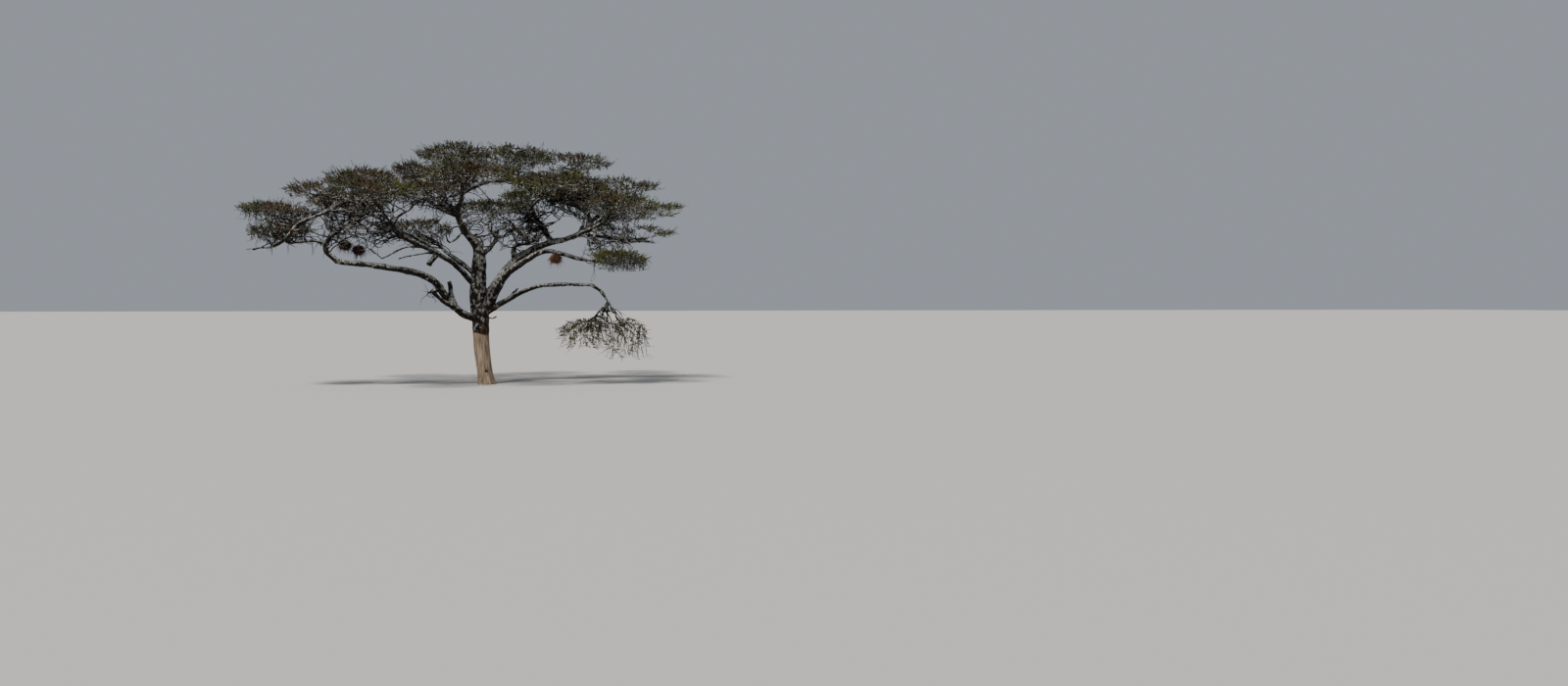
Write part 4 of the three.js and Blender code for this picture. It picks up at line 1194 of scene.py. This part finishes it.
def shoot_solids(ends, radius=SHOOT_RADIUS):
    """Thin three-sided wands through hub, bend and tip, all at once."""
    ends = np.asarray(ends)
    hub, bend, tip = ends[:, 0], ends[:, 1], ends[:, 2]
    along = tip - hub
    along /= np.linalg.norm(along, axis=1)[:, None] + 1e-9
    aside = np.cross(along, [ASKEW])
    aside /= np.linalg.norm(aside, axis=1)[:, None]
    over = np.cross(along, aside)
    corners = []
    for centre, thick in ((hub, radius * SHOOT_FOOT), (bend, radius)):
        for turn in THIRDS:
            corners.append(centre + thick * (math.cos(turn) * aside + math.sin(turn) * over))
    corners.append(tip)
    corners = np.stack(corners, axis=1)
    pattern = [(0, 2, 1)]
    for side in range(3):
        following = (side + 1) % 3
        pattern += [(side, following, following + 3), (side, following + 3, side + 3)]
        pattern.append((side + 3, following + 3, 6))
    starts = np.arange(len(ends))[:, None, None] * 7
    return corners.reshape(-1, 3), (np.array(pattern)[None] + starts).reshape(-1, 3)


def leaves_on(ends):
    """Small folded leaves round each shoot, pointing outwards and towards its tip."""
    ends = np.asarray(ends)
    count = LEAVES_PER_SHOOT
    strays = random.uniform(-LEAF_STRAYING, LEAF_STRAYING, (len(ends), count))
    share = np.linspace(FIRST_LEAF, 1, count)[None, :] + strays
    hub, bend, tip = (ends[:, i][:, None] for i in range(3))
    to_bend = np.linalg.norm(bend - hub, axis=2)
    first = to_bend / (to_bend + np.linalg.norm(tip - bend, axis=2))
    lower = np.clip(share / first, 0, 1)[..., None]
    upper = np.clip((share - first) / (1 - first), 0, 1)[..., None]
    root = hub + (bend - hub) * lower + (tip - bend) * upper
    along = np.where(upper > 0, tip - bend, bend - hub)
    along /= np.linalg.norm(along, axis=2)[..., None] + 1e-9
    first_turn = random.uniform(0, FULL_TURN, (len(ends), 1))
    turn = np.arange(count)[None, :] * GOLDEN_ANGLE + first_turn
    aside = np.cross(along, np.broadcast_to(ASKEW, along.shape))
    aside /= np.linalg.norm(aside, axis=2)[..., None]
    over = np.cross(along, aside)
    spoke = aside * np.cos(turn)[..., None] + over * np.sin(turn)[..., None]
    lean = random.uniform(*LEAF_LEANS, turn.shape)[..., None]
    way = along * np.cos(lean) + spoke * np.sin(lean)
    side = np.cross(way, along)
    side /= np.linalg.norm(side, axis=2)[..., None] + 1e-9
    fold = np.cross(side, way)
    scale = LEAF_SCALE - LEAF_SHORTENING * share
    length = (random.uniform(*LEAF_LENGTHS, turn.shape) * scale)[..., None]
    width = random.uniform(*LEAF_HALF_WIDTHS, turn.shape)[..., None]
    heart = root + way * length * 0.5 + fold * width * 0.5
    point = root + way * length
    corners = np.stack([root, heart + side * width, point, heart - side * width], axis=2)
    starts = np.arange(corners.shape[0] * count)[:, None, None] * 4
    faces = np.array([(0, 1, 2), (0, 2, 3)])[None] + starts
    return corners.reshape(-1, 3), faces.reshape(-1, 3)


def leaf_material(name, color):
    """Matt leaf of one tint, faintly veined."""
    material, tree, surface = shader(name, color, 0.75)
    bump_node(tree, noise_node(tree, 220, 2), 0.3, 0.002, surface)
    return material


SHOOT_BARK = twig_material("shoot_bark", tone(104, 98, 82), tone(40, 36, 28))
twig_piece("shoots", shoot_solids(sum(shoots.values(), [])), SHOOT_BARK)
twig_piece("under_twigs", shoot_solids(under_twigs, UNDER_TWIG_RADIUS), TWIG_BARK)
for tint, ends in shoots.items():
    twig_piece(tint, leaves_on(ends), leaf_material(tint, TINTS[tint]))
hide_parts(*(name for name, mass in MASSES.items() if not mass.get("bare")))
bare = twig_piece("bare_shoots", shoot_solids(bare_shoots), TWIG_BARK)
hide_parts("bare_left")


# The nests: old balls of dry grass that birds wove round the twigs, two of them under the bare
# twigs on the left and one, redder, under the limb on the right, all with wisps hanging down.
# For each: its middle, its half size and its colour.
NESTS = [
    ("nest_left", (-4.34, -1, 4.57), (0.19, 0.18, 0.15), tone(66, 50, 38)),
    ("nest_left_lower", (-3.93, -1, 4.42), (0.18, 0.18, 0.15), tone(62, 42, 36)),
    ("nest_right", (2.28, -1, 4.2), (0.18, 0.18, 0.15), tone(128, 88, 64)),
]
STALKS_PER_NEST = 1300
STALK_LENGTHS = (0.05, 0.14)
STALK_STARTS = (0.6, 1)  # how far out in the ball
STALK_LIFTS = (-0.2, 0.6)  # how far a stalk that winds round is turned in or out
STALK_BEND = 0.1
WISPS_PER_NEST = 170
WISP_LENGTHS = (0.1, 0.24)
WISP_STRAYING = 0.4
WISP_FALL = 0.5
WISP_DROOP = 0.35
STRAW_SHADE = 0.5  # of the straw's own colour, for the painted shade on its underside and the dark of its mottle


def nest_stalks(middle, half):
    """Stalks wound round a ball, then looser wisps that stick out and hang down."""
    count = STALKS_PER_NEST + WISPS_PER_NEST
    loose = (np.arange(count) >= STALKS_PER_NEST)[:, None]
    spokes = random.normal(0, 1, (count, 3))
    spokes /= np.linalg.norm(spokes, axis=1)[:, None]
    start = np.array(middle) + spokes * half * random.uniform(*STALK_STARTS, (count, 1))
    way = np.cross(spokes, random.normal(0, 1, spokes.shape))
    way += spokes * random.uniform(*STALK_LIFTS, (count, 1))
    astray = random.normal(0, WISP_STRAYING, spokes.shape)
    way = np.where(loose, spokes + astray + (0, 0, -WISP_FALL), way)
    way /= np.linalg.norm(way, axis=1)[:, None]
    wisp_length = random.uniform(*WISP_LENGTHS, (count, 1))
    length = np.where(loose, wisp_length, random.uniform(*STALK_LENGTHS, (count, 1)))
    bend = start + way * length * 0.5 - np.where(loose, 0, spokes * length * STALK_BEND)
    tip = start + way * length - loose * length * (0, 0, WISP_DROOP)
    return np.stack([start, bend, tip], axis=1)


for name, middle, half, color in NESTS:
    stalks = shoot_solids(nest_stalks(middle, np.array(half)))
    straw = twig_material(f"{name}_straw", color, tuple(STRAW_SHADE * c for c in color))
    twig_piece(name, stalks, straw)
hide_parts("nest")


# The studio: a plain pale floor under the tree, a soft sky and one broad light high on the left,
# and the camera at the photograph's viewing angle, about 2.7 m above the ground.
FLOOR_HALF = 400  # wide enough to reach the horizon
SUN_STRENGTH = 4.9
SUN_SPREAD = 8  # degrees, as the angles below
SUN_TILT = 30  # from straight above
SUN_TURN = -38
SKY_STRENGTH = 0.42
CAMERA_PLACE = (0.016, -42.209, 2.721)
CAMERA_TURN = 13.73
CAMERA_TILT = -1.864

around = ((-1, -1), (1, -1), (1, 1), (-1, 1))
floor_corners = [(x * FLOOR_HALF, y * FLOOR_HALF, 0) for x, y in around]
floor = in_scene("floor", mesh_from("floor", floor_corners, [(0, 1, 2, 3)]))
floor_paint, _, _ = shader("floor_paint", (0.42, 0.41, 0.39), 0.9)
floor.data.materials.append(floor_paint)

sun_lamp = bpy.data.lights.new("sun", "SUN")
sun_lamp.energy = SUN_STRENGTH
sun_lamp.angle = math.radians(SUN_SPREAD)
sun_lamp.color = (1, 0.97, 0.92)
sun = in_scene("sun", sun_lamp)
sun.rotation_euler = (math.radians(SUN_TILT), 0, math.radians(SUN_TURN))

sky = bpy.data.worlds.new("sky")
sky.use_nodes = True
backdrop = sky.node_tree.nodes["Background"]
backdrop.inputs["Color"].default_value = (0.72, 0.78, 0.88, 1)
backdrop.inputs["Strength"].default_value = SKY_STRENGTH
bpy.context.scene.world = sky

camera_lens = bpy.data.cameras.new("camera")
camera_lens.sensor_fit = "HORIZONTAL"
camera_lens.sensor_width = 36
camera_lens.lens = 28
camera_lens.clip_end = 1000
camera = in_scene("camera", camera_lens)
camera.location = CAMERA_PLACE
camera.rotation_euler = (math.radians(90 + CAMERA_TILT), 0, math.radians(-CAMERA_TURN))
bpy.context.scene.camera = camera
